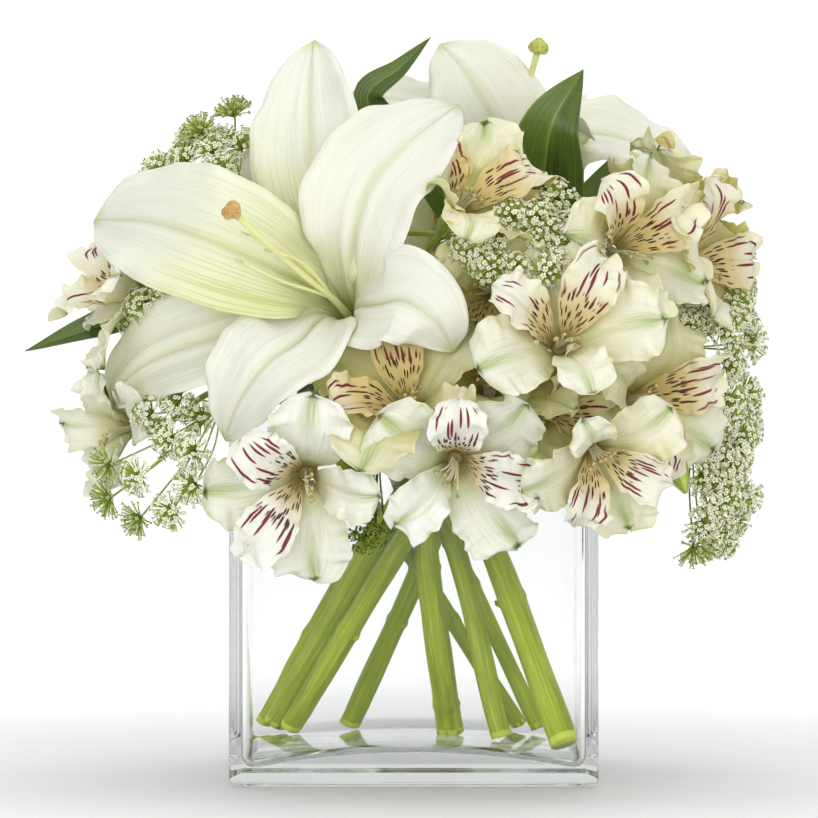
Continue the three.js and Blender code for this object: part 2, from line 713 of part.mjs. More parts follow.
// The vase is never cut into: everything else is placed clear of it.
addPiece('vase', () => vaseSolid(), GLASS);
Object.entries(STEMS).forEach(([name, stem]) => {
  addPiece(name, (grow) => stemSolid(stem, grow), STEM_GREEN);
});
addPiece('lily_front_heart', (grow) => lilyHeartSolid(lilyFront, grow), LILY_HEART);
Object.entries(LILY_FRONT_TEPALS).forEach(([name, tepal]) => {
  addPiece(`lily_front_${name}`, (grow) => lilyTepalSolid(tepal, grow), LILY_WHITE);
});
addPiece('lily_rear_heart', (grow) => lilyHeartSolid(lilyRear, grow), LILY_HEART);
Object.entries(LILY_REAR_TEPALS).forEach(([name, tepal]) => {
  addPiece(`lily_rear_${name}`, (grow) => lilyTepalSolid(tepal, grow), LILY_WHITE);
});
Object.entries(LEAVES).forEach(([name, leaf]) => {
  addPiece(name, (grow) => leafSolid(leaf, grow), LEAF_GREEN);
});
addPiece('bud', (grow) => budSolid(BUD, grow), BUD_GREEN);
Object.entries(LACE).forEach(([name, lace]) => {
  addPiece(name, (grow) => laceSolid(lace, grow), LACE_CREAM);
});
Object.entries(BLOOMS).forEach(([name, flower]) => {
  addPiece(name, (grow) => bloomSolid(flower, grow), BLOOM_WHITE);
});

const bunch = new THREE.Group();
pieces.forEach(({ name, solid, look }) => {
  const part = new THREE.Mesh(tidyGeometry(solid), new THREE.MeshStandardMaterial(look));
  part.name = name;
  bunch.add(part);
});

export default bunch;
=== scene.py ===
"""Lilies, alstroemerias and lace flowers in a square glass vase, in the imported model's frame.

Lengths in the tables are millimetres. They become metres where a mesh is made.
"""

import math

import bpy
import numpy as np
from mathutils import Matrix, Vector
from mathutils.bvhtree import BVHTree


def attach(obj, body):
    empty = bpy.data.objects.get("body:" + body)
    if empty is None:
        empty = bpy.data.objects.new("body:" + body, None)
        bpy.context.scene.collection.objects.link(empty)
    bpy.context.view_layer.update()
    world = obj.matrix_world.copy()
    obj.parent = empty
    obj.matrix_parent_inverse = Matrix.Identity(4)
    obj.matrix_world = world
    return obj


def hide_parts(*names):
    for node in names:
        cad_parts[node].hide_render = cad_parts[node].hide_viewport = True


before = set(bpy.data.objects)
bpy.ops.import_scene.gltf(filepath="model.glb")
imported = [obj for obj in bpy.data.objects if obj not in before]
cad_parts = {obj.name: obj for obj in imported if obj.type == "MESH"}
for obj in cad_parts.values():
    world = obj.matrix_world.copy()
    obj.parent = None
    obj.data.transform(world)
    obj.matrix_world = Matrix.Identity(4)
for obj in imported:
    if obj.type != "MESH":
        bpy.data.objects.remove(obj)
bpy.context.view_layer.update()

MM = 0.001


def add_object(name, data):
    made = bpy.data.objects.new(name, data)
    bpy.context.scene.collection.objects.link(made)
    return made


# ---------- the camera ----------

CAMERA_TARGET = np.array([-1.6, 0.0, 128.3])
CAMERA_DISTANCE = 2000.0
CAMERA_DOWN = math.radians(1.3)
SENSOR = 36.0
PICTURE_SIDE = 818
FOCAL_PIXELS = 5660
CLIP_NEAR, CLIP_FAR = 0.05, 50  # metres

lens = bpy.data.cameras.new("camera")
lens.sensor_width = SENSOR
lens.lens = FOCAL_PIXELS / PICTURE_SIDE * SENSOR
lens.clip_start, lens.clip_end = CLIP_NEAR, CLIP_FAR
camera = add_object("camera", lens)
camera_back = np.array([0, -math.cos(CAMERA_DOWN), math.sin(CAMERA_DOWN)])
camera.location = (CAMERA_TARGET + camera_back * CAMERA_DISTANCE) * MM
camera.rotation_euler = (math.pi / 2 - CAMERA_DOWN, 0, 0)
bpy.context.scene.camera = camera

# ---------- lines, rings and sheets ----------


def unit(v):
    """v, or each row of v, at length one."""
    v = np.asarray(v, float)
    return v / np.maximum(np.linalg.norm(v, axis=-1, keepdims=True), 1e-9)


LINE_STEPS = 24  # between two given points of a line
PATTERN_WIDTH = 1.5  # of a tube's pattern, against its radius


def smooth_line(line, places):
    """Points on a centripetal Catmull-Rom line, at the given shares of its length."""
    line = np.array(line, float)
    ends = np.vstack([2 * line[0] - line[1], line, 2 * line[-1] - line[-2]])
    s = np.linspace(0, 1, LINE_STEPS + 1)[:, None]
    parts = []
    for i in range(len(line) - 1):
        a, b, c, d = ends[i : i + 4]
        ab, bc, cd = (max(np.linalg.norm(q - p), 1e-6) ** 0.5 for p, q in ((a, b), (b, c), (c, d)))
        leave = ((b - a) / ab - (c - a) / (ab + bc) + (c - b) / bc) * bc
        arrive = ((c - b) / bc - (d - b) / (bc + cd) + (d - c) / cd) * bc
        square = -3 * b + 3 * c - 2 * leave - arrive
        cube = 2 * b - 2 * c + leave + arrive
        parts.append((b + leave * s + square * s**2 + cube * s**3)[1 if i else 0 :])
    dense = np.vstack(parts)
    run = np.concatenate([[0], np.cumsum(np.linalg.norm(np.diff(dense, axis=0), axis=1))])
    return np.stack([np.interp(places, run / run[-1], dense[:, k]) for k in range(3)], axis=1)


def tangents(line):
    """The way a line runs at each of its points."""
    return unit(np.gradient(line, axis=0))


def profile(places, values, at):
    """A smooth curve through (place, value) pairs, for widths and radii."""
    places, values = np.array(places, float), np.array(values, float)
    slope = np.gradient(values, places)
    low = np.clip(np.searchsorted(places, at, side="right") - 1, 0, len(places) - 2)
    gap = places[low + 1] - places[low]
    s = (at - places[low]) / gap
    h00, h10 = 2 * s**3 - 3 * s**2 + 1, s**3 - 2 * s**2 + s
    h01, h11 = -2 * s**3 + 3 * s**2, s**3 - s**2
    made = h00 * values[low] + h10 * gap * slope[low] + h01 * values[low + 1] + h11 * gap * slope[low + 1]
    return np.maximum(made, 0)


def grid_faces(rows, columns, first=0, around=False):
    """Quads between the rows of a grid of points, closed round when its rows are rings."""
    row = np.arange(rows - 1)[:, None] * columns
    column = np.arange(columns if around else columns - 1)[None, :]
    onward = (column + 1) % columns
    quads = np.stack([row + column, row + onward, row + columns + onward, row + columns + column], axis=-1)
    return quads.reshape(-1, 4) + first


class Bag:
    """Collects the points and faces of one piece, with what its material reads at each point.

    tone is what Shader calls along, aside, mark and tint, and pattern is where its noises are read.
    """

    def __init__(self):
        self.points, self.faces, self.tones, self.patterns, self.slots = [], [], [], [], []
        self.count = 0

    def add(self, points, faces, tone, pattern, slot=0):
        points = np.asarray(points, float).reshape(-1, 3)
        number = len(points)
        self.points.append(points)
        for group in faces:
            self.faces.extend((np.asarray(group) + self.count).tolist())
            self.slots.extend([slot] * len(group))
        self.tones.append(np.broadcast_to(tone, (number, 4)))
        self.patterns.append(np.broadcast_to(pattern, (number, 3)))
        self.count += number

    def piece(self, name, materials, node):
        """Makes the object, lets it ride on the frame and stand for its CAD node."""
        mesh = bpy.data.meshes.new(name)
        mesh.from_pydata((np.vstack(self.points) * MM).tolist(), [], self.faces)
        for key, kind, field, rows in (("tone", "FLOAT_COLOR", "color", self.tones),
                                       ("pattern", "FLOAT_VECTOR", "vector", self.patterns)):
            values = np.vstack(rows).astype(np.float32).ravel()
            mesh.attributes.new(key, kind, "POINT").data.foreach_set(field, values)
        mesh.polygons.foreach_set("use_smooth", [True] * len(mesh.polygons))
        mesh.polygons.foreach_set("material_index", self.slots)
        for material in materials:
            mesh.materials.append(material)
        mesh.validate()
        mesh.update()
        made = add_object(name, mesh)
        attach(made, "root")
        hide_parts(node)


def ring_frames(line):
    """Two directions square to a line at each of its points, without twist."""
    along = tangents(line)
    side = unit(np.cross(along[0], [0.3, 0.5, 0.81]))
    sides = []
    for way in along:
        side = unit(side - way * np.dot(side, way))
        sides.append(side)
    sides = np.array(sides)
    return sides, np.cross(along, sides)


def looks(rows, columns, *values):
    """Arrays over a grid of points, one number for each value given, in the order given."""
    made = np.zeros((rows, columns, len(values)))
    for index, value in enumerate(values):
        made[..., index] = value
    return made


def tube(bag, line, radii, sides, steps, seed, slot=0, mark=0.0, tint=0.0, ribs=0, rib_depth=0.0, bumps=None):
    """A round tube with closed ends and the given number of sides and of steps along it."""
    places = np.linspace(0, 1, steps + 1)
    centre = smooth_line(line, places)
    across, up = ring_frames(centre)
    radius = np.interp(places, np.linspace(0, 1, len(radii)), radii)
    if bumps is not None:
        radius = radius + bumps(places)
    angle = np.linspace(0, 2 * math.pi, sides, endpoint=False)
    reach = radius[:, None] * (1 + rib_depth * np.cos(ribs * angle))[None, :]
    ring = np.cos(angle)[None, :, None] * across[:, None] + np.sin(angle)[None, :, None] * up[:, None]
    points = centre[:, None] + ring * reach[..., None]
    length = np.linalg.norm(np.diff(centre, axis=0), axis=1).sum()
    tones = looks(steps + 1, sides, places[:, None], 0, mark, tint)
    patterns = looks(
        steps + 1, sides, seed + np.cos(angle)[None, :] * radius.max() * PATTERN_WIDTH,
        seed + (places * length)[:, None], seed + np.sin(angle)[None, :] * radius.max() * PATTERN_WIDTH)
    flat = points.reshape(-1, 3)
    caps = np.vstack([centre[0], centre[-1]])
    first_cap, last_cap = len(flat), len(flat) + 1
    order = np.arange(sides)
    onward = (order + 1) % sides
    last = steps * sides
    start = np.stack([np.full(sides, first_cap), onward, order], axis=1)
    end = np.stack([np.full(sides, last_cap), last + order, last + onward], axis=1)
    bag.add(
        np.vstack([flat, caps]),
        [grid_faces(steps + 1, sides, around=True), start, end],
        np.vstack([tones.reshape(-1, 4), [[0, 0, mark, tint], [1, 0, mark, tint]]]),
        np.vstack([patterns.reshape(-1, 3), patterns[0, 0], patterns[-1, 0]]),
        slot,
    )


def shell(bag, middle, thickness, tone, pattern, slot=0):
    """A thin closed sheet round a grid of points, thinner towards its rim."""
    rows, columns = middle.shape[:2]
    by_row, by_column = np.gradient(middle, axis=0), np.gradient(middle, axis=1)
    normal = unit(np.cross(by_column, by_row))
    half = (np.asarray(thickness) / 2)[..., None] * normal
    front, back = (middle + half).reshape(-1, 3), (middle - half).reshape(-1, 3)
    number = rows * columns
    faces = grid_faces(rows, columns)
    rim = np.concatenate([
        np.arange(columns),
        np.arange(1, rows) * columns + columns - 1,
        (rows - 1) * columns + np.arange(columns - 2, -1, -1),
        np.arange(rows - 2, 0, -1) * columns,
    ])
    onward = np.roll(rim, -1)
    edge = np.stack([rim, rim + number, onward + number, onward], axis=1)
    flat_tone, flat_pattern = tone.reshape(-1, 4), pattern.reshape(-1, 3)
    bag.add(
        np.vstack([front, back]),
        [faces, faces[:, ::-1] + number, edge],
        np.vstack([flat_tone, flat_tone]),
        np.vstack([flat_pattern, flat_pattern]),
        slot,
    )


def blade_grid(spine, half_width, shape, facing, places, shares, cup, twist=0.0):
    """The middle sheet of a petal or leaf: its points, its inward directions and its half widths."""
    centre = smooth_line(spine, places)
    along = tangents(centre)
    across = unit(np.cross(along, facing))
    inward = np.cross(across, along)
    angle = (twist * places)[:, None]
    turned = np.cos(angle) * across + np.sin(angle) * inward
    inward = np.cos(angle) * inward - np.sin(angle) * across
    half = half_width * profile(*shape, places)
    u = shares[None, :]
    dish = cup * half[:, None] * (u**2 - 0.4)
    aside = turned[:, None] * (u * half[:, None])[..., None]
    return centre[:, None] + aside + inward[:, None] * dish[..., None], inward, half


def spread_shares(columns, reach):
    """Shares from -1 to 1 across a sheet, closer together at its rims."""
    return np.sin(np.linspace(-math.pi / 2, math.pi / 2, columns) * reach) / math.sin(math.pi / 2 * reach)


# ---------- petals that lie against other sheets ----------

SHEETS = []  # the middle sheets of the tepals and leaves
PETAL_SHEETS = []  # those of the flowers already made
SHEET_GAP = 1.0
THROAT_REACH = 6  # points nearer the throat than this stay where they are
NEAREST_SHARE = 0.5  # a petal that meets another flower nearer than this share of its length keeps its way
NEAREST_PERCENT = 3  # the share of its points that may be nearer
SPREAD_ROUNDS = 6


def pressed(grid, origin, tree, nearest=0.0):
    """A petal's points. Those past a sheet, seen from the flower's throat, are laid on its near side."""
    moved = grid.copy()
    touched = np.zeros(grid.shape[:2], bool)
    shares = [1.0]
    for place in np.ndindex(grid.shape[:2]):
        way = grid[place] - origin
        far = np.linalg.norm(way)
        if far < THROAT_REACH:
            continue
        hit, normal, _, distance = tree.ray_cast(Vector(origin), Vector(way / far), far + SHEET_GAP)
        if hit is None:
            continue
        shares.append(distance / far)
        side = np.array(normal) * (-1 if np.dot(normal, way) > 0 else 1)
        moved[place] = np.array(hit) + side * SHEET_GAP
        touched[place] = True
    if np.percentile(shares, NEAREST_PERCENT) < nearest:
        return grid
    offset = moved - grid
    rows, columns = grid.shape[:2]
    for _ in range(SPREAD_ROUNDS):
        padded = np.pad(offset, ((1, 1), (1, 1), (0, 0)), mode="edge")
        around = [padded[i : i + rows, j : j + columns] for i in range(3) for j in range(3)]
        offset = np.where(touched[..., None], offset, sum(around) / len(around))
    return grid + offset


def sheet_tree(sheets):
    """What the rays from a throat are tested against."""
    points = np.vstack([sheet.reshape(-1, 3) for sheet in sheets])
    faces, first = [], 0
    for sheet in sheets:
        faces += grid_faces(*sheet.shape[:2], first).tolist()
        first += sheet.shape[0] * sheet.shape[1]
    return BVHTree.FromPolygons(points.tolist(), faces)


# ---------- materials ----------


class Nodes:
    """Adds nodes to a tree. A value given to a socket is linked if it is a socket, else set on it."""

    def __init__(self, tree):
        self.tree = tree
        tree.nodes.clear()

    def feed(self, socket, value):
        if isinstance(value, bpy.types.NodeSocket):
            self.tree.links.new(value, socket)
        elif socket.type == "RGBA":
            socket.default_value = (*value, 1)
        else:
            socket.default_value = value

    def new(self, kind, inputs=None, **settings):
        node = self.tree.nodes.new(kind)
        for key, value in settings.items():
            setattr(node, key, value)
        for key, value in (inputs or {}).items():
            self.feed(node.inputs[key], value)
        return node

    def math(self, operation, a, b):
        return self.new("ShaderNodeMath", {0: a, 1: b}, operation=operation).outputs[0]

    def product(self, first, *factors):
        for factor in factors:
            first = self.math("MULTIPLY", first, factor)
        return first

    def ramp(self, value, start, end, low=0.0, high=1.0):
        """low below start and high past end, with a smooth way between. start may be above end."""
        if start > end:
            start, end, low, high = end, start, high, low
        inputs = {"Value": value, "From Min": start, "From Max": end, "To Min": low, "To Max": high}
        return self.new("ShaderNodeMapRange", inputs, interpolation_type="SMOOTHSTEP").outputs["Result"]


class Shader(Nodes):
    """One material, whose colour is built up in layers."""

    def __init__(self, name):
        self.material = bpy.data.materials.new(name)
        self.material.use_nodes = True
        super().__init__(self.material.node_tree)
        tone = self.new("ShaderNodeAttribute", attribute_name="tone")
        parts = self.new("ShaderNodeSeparateColor", {"Color": tone.outputs["Color"]})
        self.along, self.aside, self.mark = parts.outputs[0], parts.outputs[1], parts.outputs[2]
        self.tint = tone.outputs["Alpha"]
        self.pattern = self.new("ShaderNodeAttribute", attribute_name="pattern").outputs["Vector"]
        self.color = None

    def mix(self, factor, a, b, blend="MIX"):
        return self.new(
            "ShaderNodeMix", {0: factor, 6: a, 7: b}, data_type="RGBA", blend_type=blend
        ).outputs[2]

    def paint(self, color, *factors):
        """Lays a colour over what is there, as strong as the product of its factors."""
        self.color = self.mix(self.product(*factors), self.color, color)

    def cloud(self, vector, scale, detail):
        inputs = {"Vector": vector, "Scale": scale, "Detail": detail}
        return self.new("ShaderNodeTexNoise", inputs).outputs["Fac"]

    def stretched(self, x, y, z):
        """The pattern's place, scaled on each axis."""
        return self.new("ShaderNodeMapping", {"Vector": self.pattern, "Scale": (x, y, z)}).outputs["Vector"]

    def noise(self, x, y, z=1.0, detail=2.0):
        return self.cloud(self.stretched(x, y, z), 1.0, detail)

    def strokes(self, x, y, size):
        """Short marks along the pattern's second axis, one to each cell of x by y."""
        inputs = {"Vector": self.stretched(x, y, 0.0), "Scale": 1.0, "Randomness": 0.85}
        cell = self.new("ShaderNodeTexVoronoi", inputs, voronoi_dimensions="2D")
        return self.ramp(cell.outputs["Distance"], size * 1.15, size * 0.85)

    def painted_shade_share(self, distance):
        """Where shade is painted: 0 in the open and 1 deep between other surfaces."""
        open_share = self.new("ShaderNodeAmbientOcclusion", {"Distance": distance}, samples=6).outputs["AO"]
        return self.ramp(open_share, 0.92, 0.3)

    def bump(self, height, strength, distance):
        inputs = {"Height": height, "Strength": strength, "Distance": distance}
        return self.new("ShaderNodeBump", inputs).outputs["Normal"]

    def finish(self, roughness, normal=None, through=0.0, through_color=None, **more):
        """Ends the material: a surface, with a share of light let through it."""
        inputs = {"Base Color": self.color, "Roughness": roughness}
        inputs.update({key.replace("_", " "): value for key, value in more.items()})
        bent = {} if normal is None else {"Normal": normal}
        surface = self.new("ShaderNodeBsdfPrincipled", {**inputs, **bent}).outputs["BSDF"]
        if through > 0:
            glow = self.color if through_color is None else through_color
            light = self.new("ShaderNodeBsdfTranslucent", {"Color": glow, **bent}).outputs["BSDF"]
            surface = self.new("ShaderNodeMixShader", {0: through, 1: surface, 2: light}).outputs[0]
        self.new("ShaderNodeOutputMaterial", {"Surface": surface})
        return self.material


def lily_material():
    """mark is how much yellow-green washes over the tepal at that point: its real green up from the root, and
    painted shade along its lower side.
    """
    s = Shader("lily_tepal")
    fine, broad = s.noise(1.5, 0.035, detail=3.0), s.noise(0.16, 0.03)
    veins = s.ramp(s.noise(0.95, 0.02, detail=1.0), 0.5, 0.62)
    s.color = s.mix(s.ramp(broad, 0.35, 0.7, 0.0, 0.5), (0.81, 0.81, 0.785), (0.785, 0.785, 0.735))
    s.paint((0.75, 0.75, 0.64), s.ramp(fine, 0.5, 0.72, 0.0, 0.3))
    # painted shade: yellow-green deep between surfaces
    s.paint((0.86, 0.87, 0.58), s.painted_shade_share(0.03), 0.35)
    green_and_shade_wash = s.product(s.mark, s.ramp(broad, 0.25, 0.7, 1.0, 0.75))
    # the yellow-green wash: real green near the root, painted shade along the lower side
    s.paint((0.68, 0.71, 0.33), green_and_shade_wash, 0.9)
    s.paint((0.47, 0.55, 0.14), veins, s.ramp(green_and_shade_wash, 0.05, 0.8, 0.06, 0.6))
    # the middle line, the tip and the root
    s.paint((0.62, 0.68, 0.28), s.ramp(s.aside, 0.13, 0.0), s.ramp(s.along, 0.98, 0.4, 0.35, 0.8), 0.6)
    s.paint((0.60, 0.66, 0.25), s.ramp(s.along, 0.94, 1.0), 0.7)
    s.paint((0.38, 0.48, 0.03), s.ramp(s.along, 0.19, 0.05, 0.0, 0.9))
    height = s.math("ADD", s.math("ADD", s.product(fine, 0.6), broad), s.product(veins, -0.25))
    return s.finish(0.45, s.bump(height, 0.5, 0.0007), through=0.33, through_color=(0.90, 0.90, 0.70),
                    Specular_IOR_Level=0.3)


def bloom_material():
    """mark is 1 on striped petals, and tint is how tan or olive the flower is."""
    s = Shader("bloom_petal")
    plain = s.math("SUBTRACT", 1.0, s.mark)
    fine, broad = s.noise(2.2, 0.07, detail=3.0), s.noise(0.3, 0.1)
    s.color = s.mix(s.ramp(broad, 0.35, 0.7, 0.0, 0.6), (0.93, 0.932, 0.92), (0.89, 0.90, 0.865))
    # painted shade: warm yellow deep between petals, stronger the more tan the flower is
    s.paint((0.83, 0.80, 0.36), s.painted_shade_share(0.02), s.ramp(s.tint, 0.0, 0.9, 0.12, 0.8))
    inner = s.product(s.ramp(s.along, 1.0, 0.25, 0.3, 1.0), s.ramp(broad, 0.25, 0.6, 0.6, 1.0))
    s.paint((0.68, 0.65, 0.21), s.tint, inner, 0.8)
    vein = s.product(s.ramp(fine, 0.52, 0.64), s.ramp(s.aside, 1.0, 0.2, 0.1, 0.5))
    s.paint((0.66, 0.70, 0.42), vein, s.ramp(s.mark, 0.0, 1.0, 1.0, 0.4))
    # the green of the plain petals, at their root, middle stripe, tip and margin
    s.paint((0.60, 0.64, 0.24), s.ramp(s.along, 0.5, 0.12), plain, 0.6)
    ragged = s.ramp(s.noise(1.6, 0.07), 0.3, 0.6, 0.25, 1.0)
    s.paint((0.42, 0.53, 0.10), s.ramp(s.aside, 0.34, 0.02), s.ramp(s.along, 0.4, 0.97), ragged, plain,
            0.85)
    s.paint((0.17, 0.25, 0.04), s.ramp(s.along, 0.95, 0.985), s.ramp(s.aside, 0.6, 0.2), plain)
    s.paint((0.62, 0.68, 0.27), s.ramp(s.aside, 0.7, 1.0, 0.0, 0.4), s.ramp(broad, 0.45, 0.62), plain)
    # the tan inner part of the striped petals and their marks, then the throat
    reach = s.math("ADD", s.along, s.product(s.tint, -0.5))
    s.paint((0.74, 0.58, 0.22), s.ramp(reach, 0.5, 0.12), s.mark, 0.8)
    long_marks = s.product(
        s.strokes(0.5, 0.052, 0.225), s.ramp(s.along, 0.42, 0.46), s.ramp(s.along, 0.93, 0.89))
    short_marks = s.product(s.strokes(0.62, 0.17, 0.25), s.ramp(s.along, 0.58, 0.5))
    mark_color = s.mix(s.ramp(s.along, 0.4, 0.62), (0.07, 0.02, 0.01), (0.25, 0.012, 0.032))
    s.paint(mark_color, s.math("MAXIMUM", long_marks, short_marks), s.ramp(s.aside, 0.94, 0.82),
            s.ramp(s.mark, 0.15, 0.6), 0.97)
    s.paint((0.36, 0.29, 0.07), s.ramp(s.along, 0.2, 0.06), 0.8)
    normal = s.bump(s.math("ADD", s.product(fine, 0.9), broad), 0.5, 0.0006)
    glow = s.mix(s.ramp(s.tint, 0.0, 1.0), (1.0, 1.0, 0.95), (1.0, 0.96, 0.68))
    return s.finish(0.5, normal, through=0.4, through_color=s.mix(1.0, s.color, glow, "MULTIPLY"),
                    Specular_IOR_Level=0.25)


def green_material(name, light, dark, roughness):
    """Stems, stalks and ovaries: green with fine lengthwise streaks. mark is 1 on paler, cut ends."""
    s = Shader(name)
    fine, broad = s.noise(0.9, 0.02, 0.9, detail=4.0), s.noise(0.12, 0.035, 0.12, detail=3.0)
    pale = tuple(min(0.8, c * 1.4 + 0.05) for c in light)
    s.color = s.mix(s.ramp(fine, 0.35, 0.68), dark, light)
    s.paint(tuple(c * 0.72 for c in dark), s.ramp(broad, 0.42, 0.7, 0.0, 0.6))
    s.paint(pale, s.ramp(s.noise(0.9, 0.05, 0.9, detail=3.0), 0.54, 0.72, 0.0, 0.6))
    s.paint(pale, s.mark)
    normal = s.bump(s.math("ADD", fine, s.product(broad, 0.5)), 0.5, 0.0006)
    return s.finish(roughness, normal, through=0.12, Specular_IOR_Level=0.22)


def leaf_material():
    """mark is how much light is painted on that half of the blade."""
    s = Shader("leaf")
    veins, broad = s.noise(1.15, 0.012), s.noise(0.12, 0.05, detail=3.0)
    s.color = s.mix(s.ramp(broad, 0.35, 0.7), (0.05, 0.085, 0.008), (0.085, 0.145, 0.013))
    s.paint((0.13, 0.20, 0.03), s.ramp(veins, 0.5, 0.64, 0.0, 0.5))
    # painted light: one half of the folded blade lighter green, as light falls on it
    s.paint((0.19, 0.29, 0.035), s.mark)
    # the rib and the margin
    s.paint((0.22, 0.31, 0.06), s.ramp(s.aside, 0.07, 0.01, 0.0, 0.75))
    s.paint((0.18, 0.25, 0.04), s.ramp(s.aside, 0.93, 1.0, 0.0, 0.5))
    normal = s.bump(s.math("ADD", veins, s.product(broad, 0.6)), 0.5, 0.0005)
    return s.finish(0.38, normal, through=0.16, through_color=(0.22, 0.36, 0.02), Specular_IOR_Level=0.5)


def lace_material():
    """mark is 0 on rays and stalks and 1 on florets, along is 0 at a floret's middle, and tint is how
    green and closed the floret is."""
    s = Shader("lace")
    grain = s.noise(1.2, 1.2, 1.2)
    petal = s.mix(s.ramp(grain, 0.35, 0.7), (0.94, 0.935, 0.74), (0.97, 0.97, 0.88))
    # painted shade: yellower deep between florets
    petal = s.mix(s.product(s.painted_shade_share(0.006), 0.2), petal, (0.86, 0.85, 0.40))
    floret = s.mix(s.ramp(s.along, 0.05, 0.3), (0.66, 0.70, 0.30), petal)
    stalk = s.mix(s.ramp(grain, 0.35, 0.7), (0.42, 0.53, 0.06), (0.60, 0.68, 0.16))
    s.color = s.mix(s.mark, stalk, floret)
    s.paint((0.24, 0.34, 0.03), s.tint)
    s.paint((0.05, 0.075, 0.01), s.ramp(s.tint, 0.65, 0.9, 0.0, 0.75))
    return s.finish(0.6, s.bump(grain, 0.3, 0.0003), through=0.22, Specular_IOR_Level=0.25)


def tipped_material(name, body, end, start, roughness=0.5):
    """Styles, filaments and their tips: body colour, then end colour past start of the length."""
    s = Shader(name)
    grain = s.noise(1.4, 0.5, 1.4, detail=3.0)
    dark_end = s.mix(s.ramp(grain, 0.4, 0.65), end, tuple(c * 0.6 for c in end))
    s.color = s.mix(s.ramp(grain, 0.35, 0.7, 0.0, 0.5), body, tuple(c * 0.86 for c in body))
    s.paint(dark_end, s.ramp(s.along, start, start + 0.02))
    return s.finish(roughness, s.bump(grain, 0.35, 0.0003), through=0.15, Specular_IOR_Level=0.4)


def glass_material():
    """Clear glass, a little grey in its depth, which lets lamp light through to what stands in it."""
    s = Shader("glass")
    place = s.new("ShaderNodeTexCoord").outputs["Object"]
    inputs = {
        "Base Color": (0.925, 0.932, 0.93),
        "Specular Tint": (0.3, 0.3, 0.3),
        "Roughness": s.ramp(s.cloud(place, 60.0, 3.0), 0.3, 0.8, 0.0, 0.025),
        "IOR": 1.5,
        "Transmission Weight": 1.0,
        "Normal": s.bump(s.cloud(place, 9.0, 1.0), 0.1, 0.004),
    }
    body = s.new("ShaderNodeBsdfPrincipled", inputs).outputs["BSDF"]
    clear = s.new("ShaderNodeBsdfTransparent", {"Color": (0.95, 0.97, 0.96)}).outputs["BSDF"]
    shadow = s.new("ShaderNodeLightPath").outputs["Is Shadow Ray"]
    surface = s.new("ShaderNodeMixShader", {0: shadow, 1: body, 2: clear}).outputs[0]
    depth = s.new("ShaderNodeVolumeAbsorption", {"Color": (0.60, 0.62, 0.61), "Density": 7.5})
    s.new("ShaderNodeOutputMaterial", {"Surface": surface, "Volume": depth.outputs["Volume"]})
    return s.material


def floor_material():
    """Pale grey near the vase and white further out: the floor glows more the further it lies from the
    middle, painted light that turns the far floor white.
    """
    s = Shader("floor")
    place = s.new("ShaderNodeTexCoord").outputs["Object"]
    s.color = s.mix(s.ramp(s.cloud(place, 40.0, 2.0), 0.3, 0.7), (0.70, 0.70, 0.70), (0.71, 0.71, 0.71))
    reach = s.new("ShaderNodeVectorMath", {0: place}, operation="LENGTH").outputs["Value"]
    # painted light: the floor glows more the further it lies from the middle
    return s.finish(0.6, Specular_IOR_Level=0.1, Emission_Color=(1, 1, 1),
                    Emission_Strength=s.ramp(reach, 0.09, 0.6, 0.0, 0.36))


LILY = lily_material()
BLOOM = bloom_material()
STEM = green_material("stem", (0.48, 0.59, 0.05), (0.35, 0.45, 0.02), 0.4)
STALK = green_material("stalk", (0.42, 0.50, 0.10), (0.26, 0.35, 0.04), 0.45)
LEAF = leaf_material()
LACE_LOOK = lace_material()
STYLE = tipped_material("lily_style", (0.76, 0.77, 0.36), (0.64, 0.66, 0.22), 0.95)
FRONT_STIGMA = tipped_material("lily_stigma_brown", (0.66, 0.42, 0.14), (0.58, 0.33, 0.10), 0.7)
REAR_STIGMA = tipped_material("lily_stigma_yellow", (0.58, 0.60, 0.13), (0.50, 0.50, 0.09), 0.7)
STAMEN = tipped_material("bloom_stamen", (0.78, 0.74, 0.55), (0.50, 0.42, 0.22), 0.86)
ANTHER = tipped_material("bloom_anther", (0.55, 0.44, 0.18), (0.40, 0.31, 0.12), 0.5, roughness=0.75)
GLASS = glass_material()

# ---------- the vase ----------

VASE_HALF = 63.5
VASE_HEIGHT = 127.0
VASE_WALL = 4.5
VASE_FLOOR = 11.5
VASE_CORNER = 5.0
VASE_INNER_CORNER = 4.0
VASE_FOOT_ROUND = 2.0
VASE_RIM_ROUND = 1.6
VASE_FLOOR_FILLET = 3.5
VASE_FLOOR_DROP = 5.0  # how far the inner floor falls away into its corners
VASE_DROP_TOP = 34.0  # the height where the fall no longer shows in the walls
FOOT_SHARES = (0.0, 0.35, 0.7, 0.9)  # rings of the underside, as shares of the way out
FLOOR_SHARES = (0.97, 0.9, 0.8, 0.7, 0.6, 0.5, 0.35, 0.2, 0.004)  # and of the inner floor
LEAST_SHARE = 0.004  # of the ring in the middle
WALL_RINGS = 12
ROUND_STEPS = 8
SIDE_STEPS = 10
SQUARE = np.array([[1, 1], [-1, 1], [-1, -1], [1, -1]])


def square_ring(half, radius, z):
    """A square outline with rounded corners, at one height."""
    ring = []
    for corner in range(4):
        sign, onward = SQUARE[corner], SQUARE[(corner + 1) % 4]
        for step in range(ROUND_STEPS + 1):
            angle = (corner + step / ROUND_STEPS) * math.pi / 2
            turn = radius * np.array([math.cos(angle), math.sin(angle)])
            ring.append([*(sign * (half - radius) + turn), z])
        for share in (step / SIDE_STEPS for step in range(1, SIDE_STEPS)):
            ring.append([*((sign * (1 - share) + onward * share) * (half - radius) + turn), z])
    return np.array(ring)


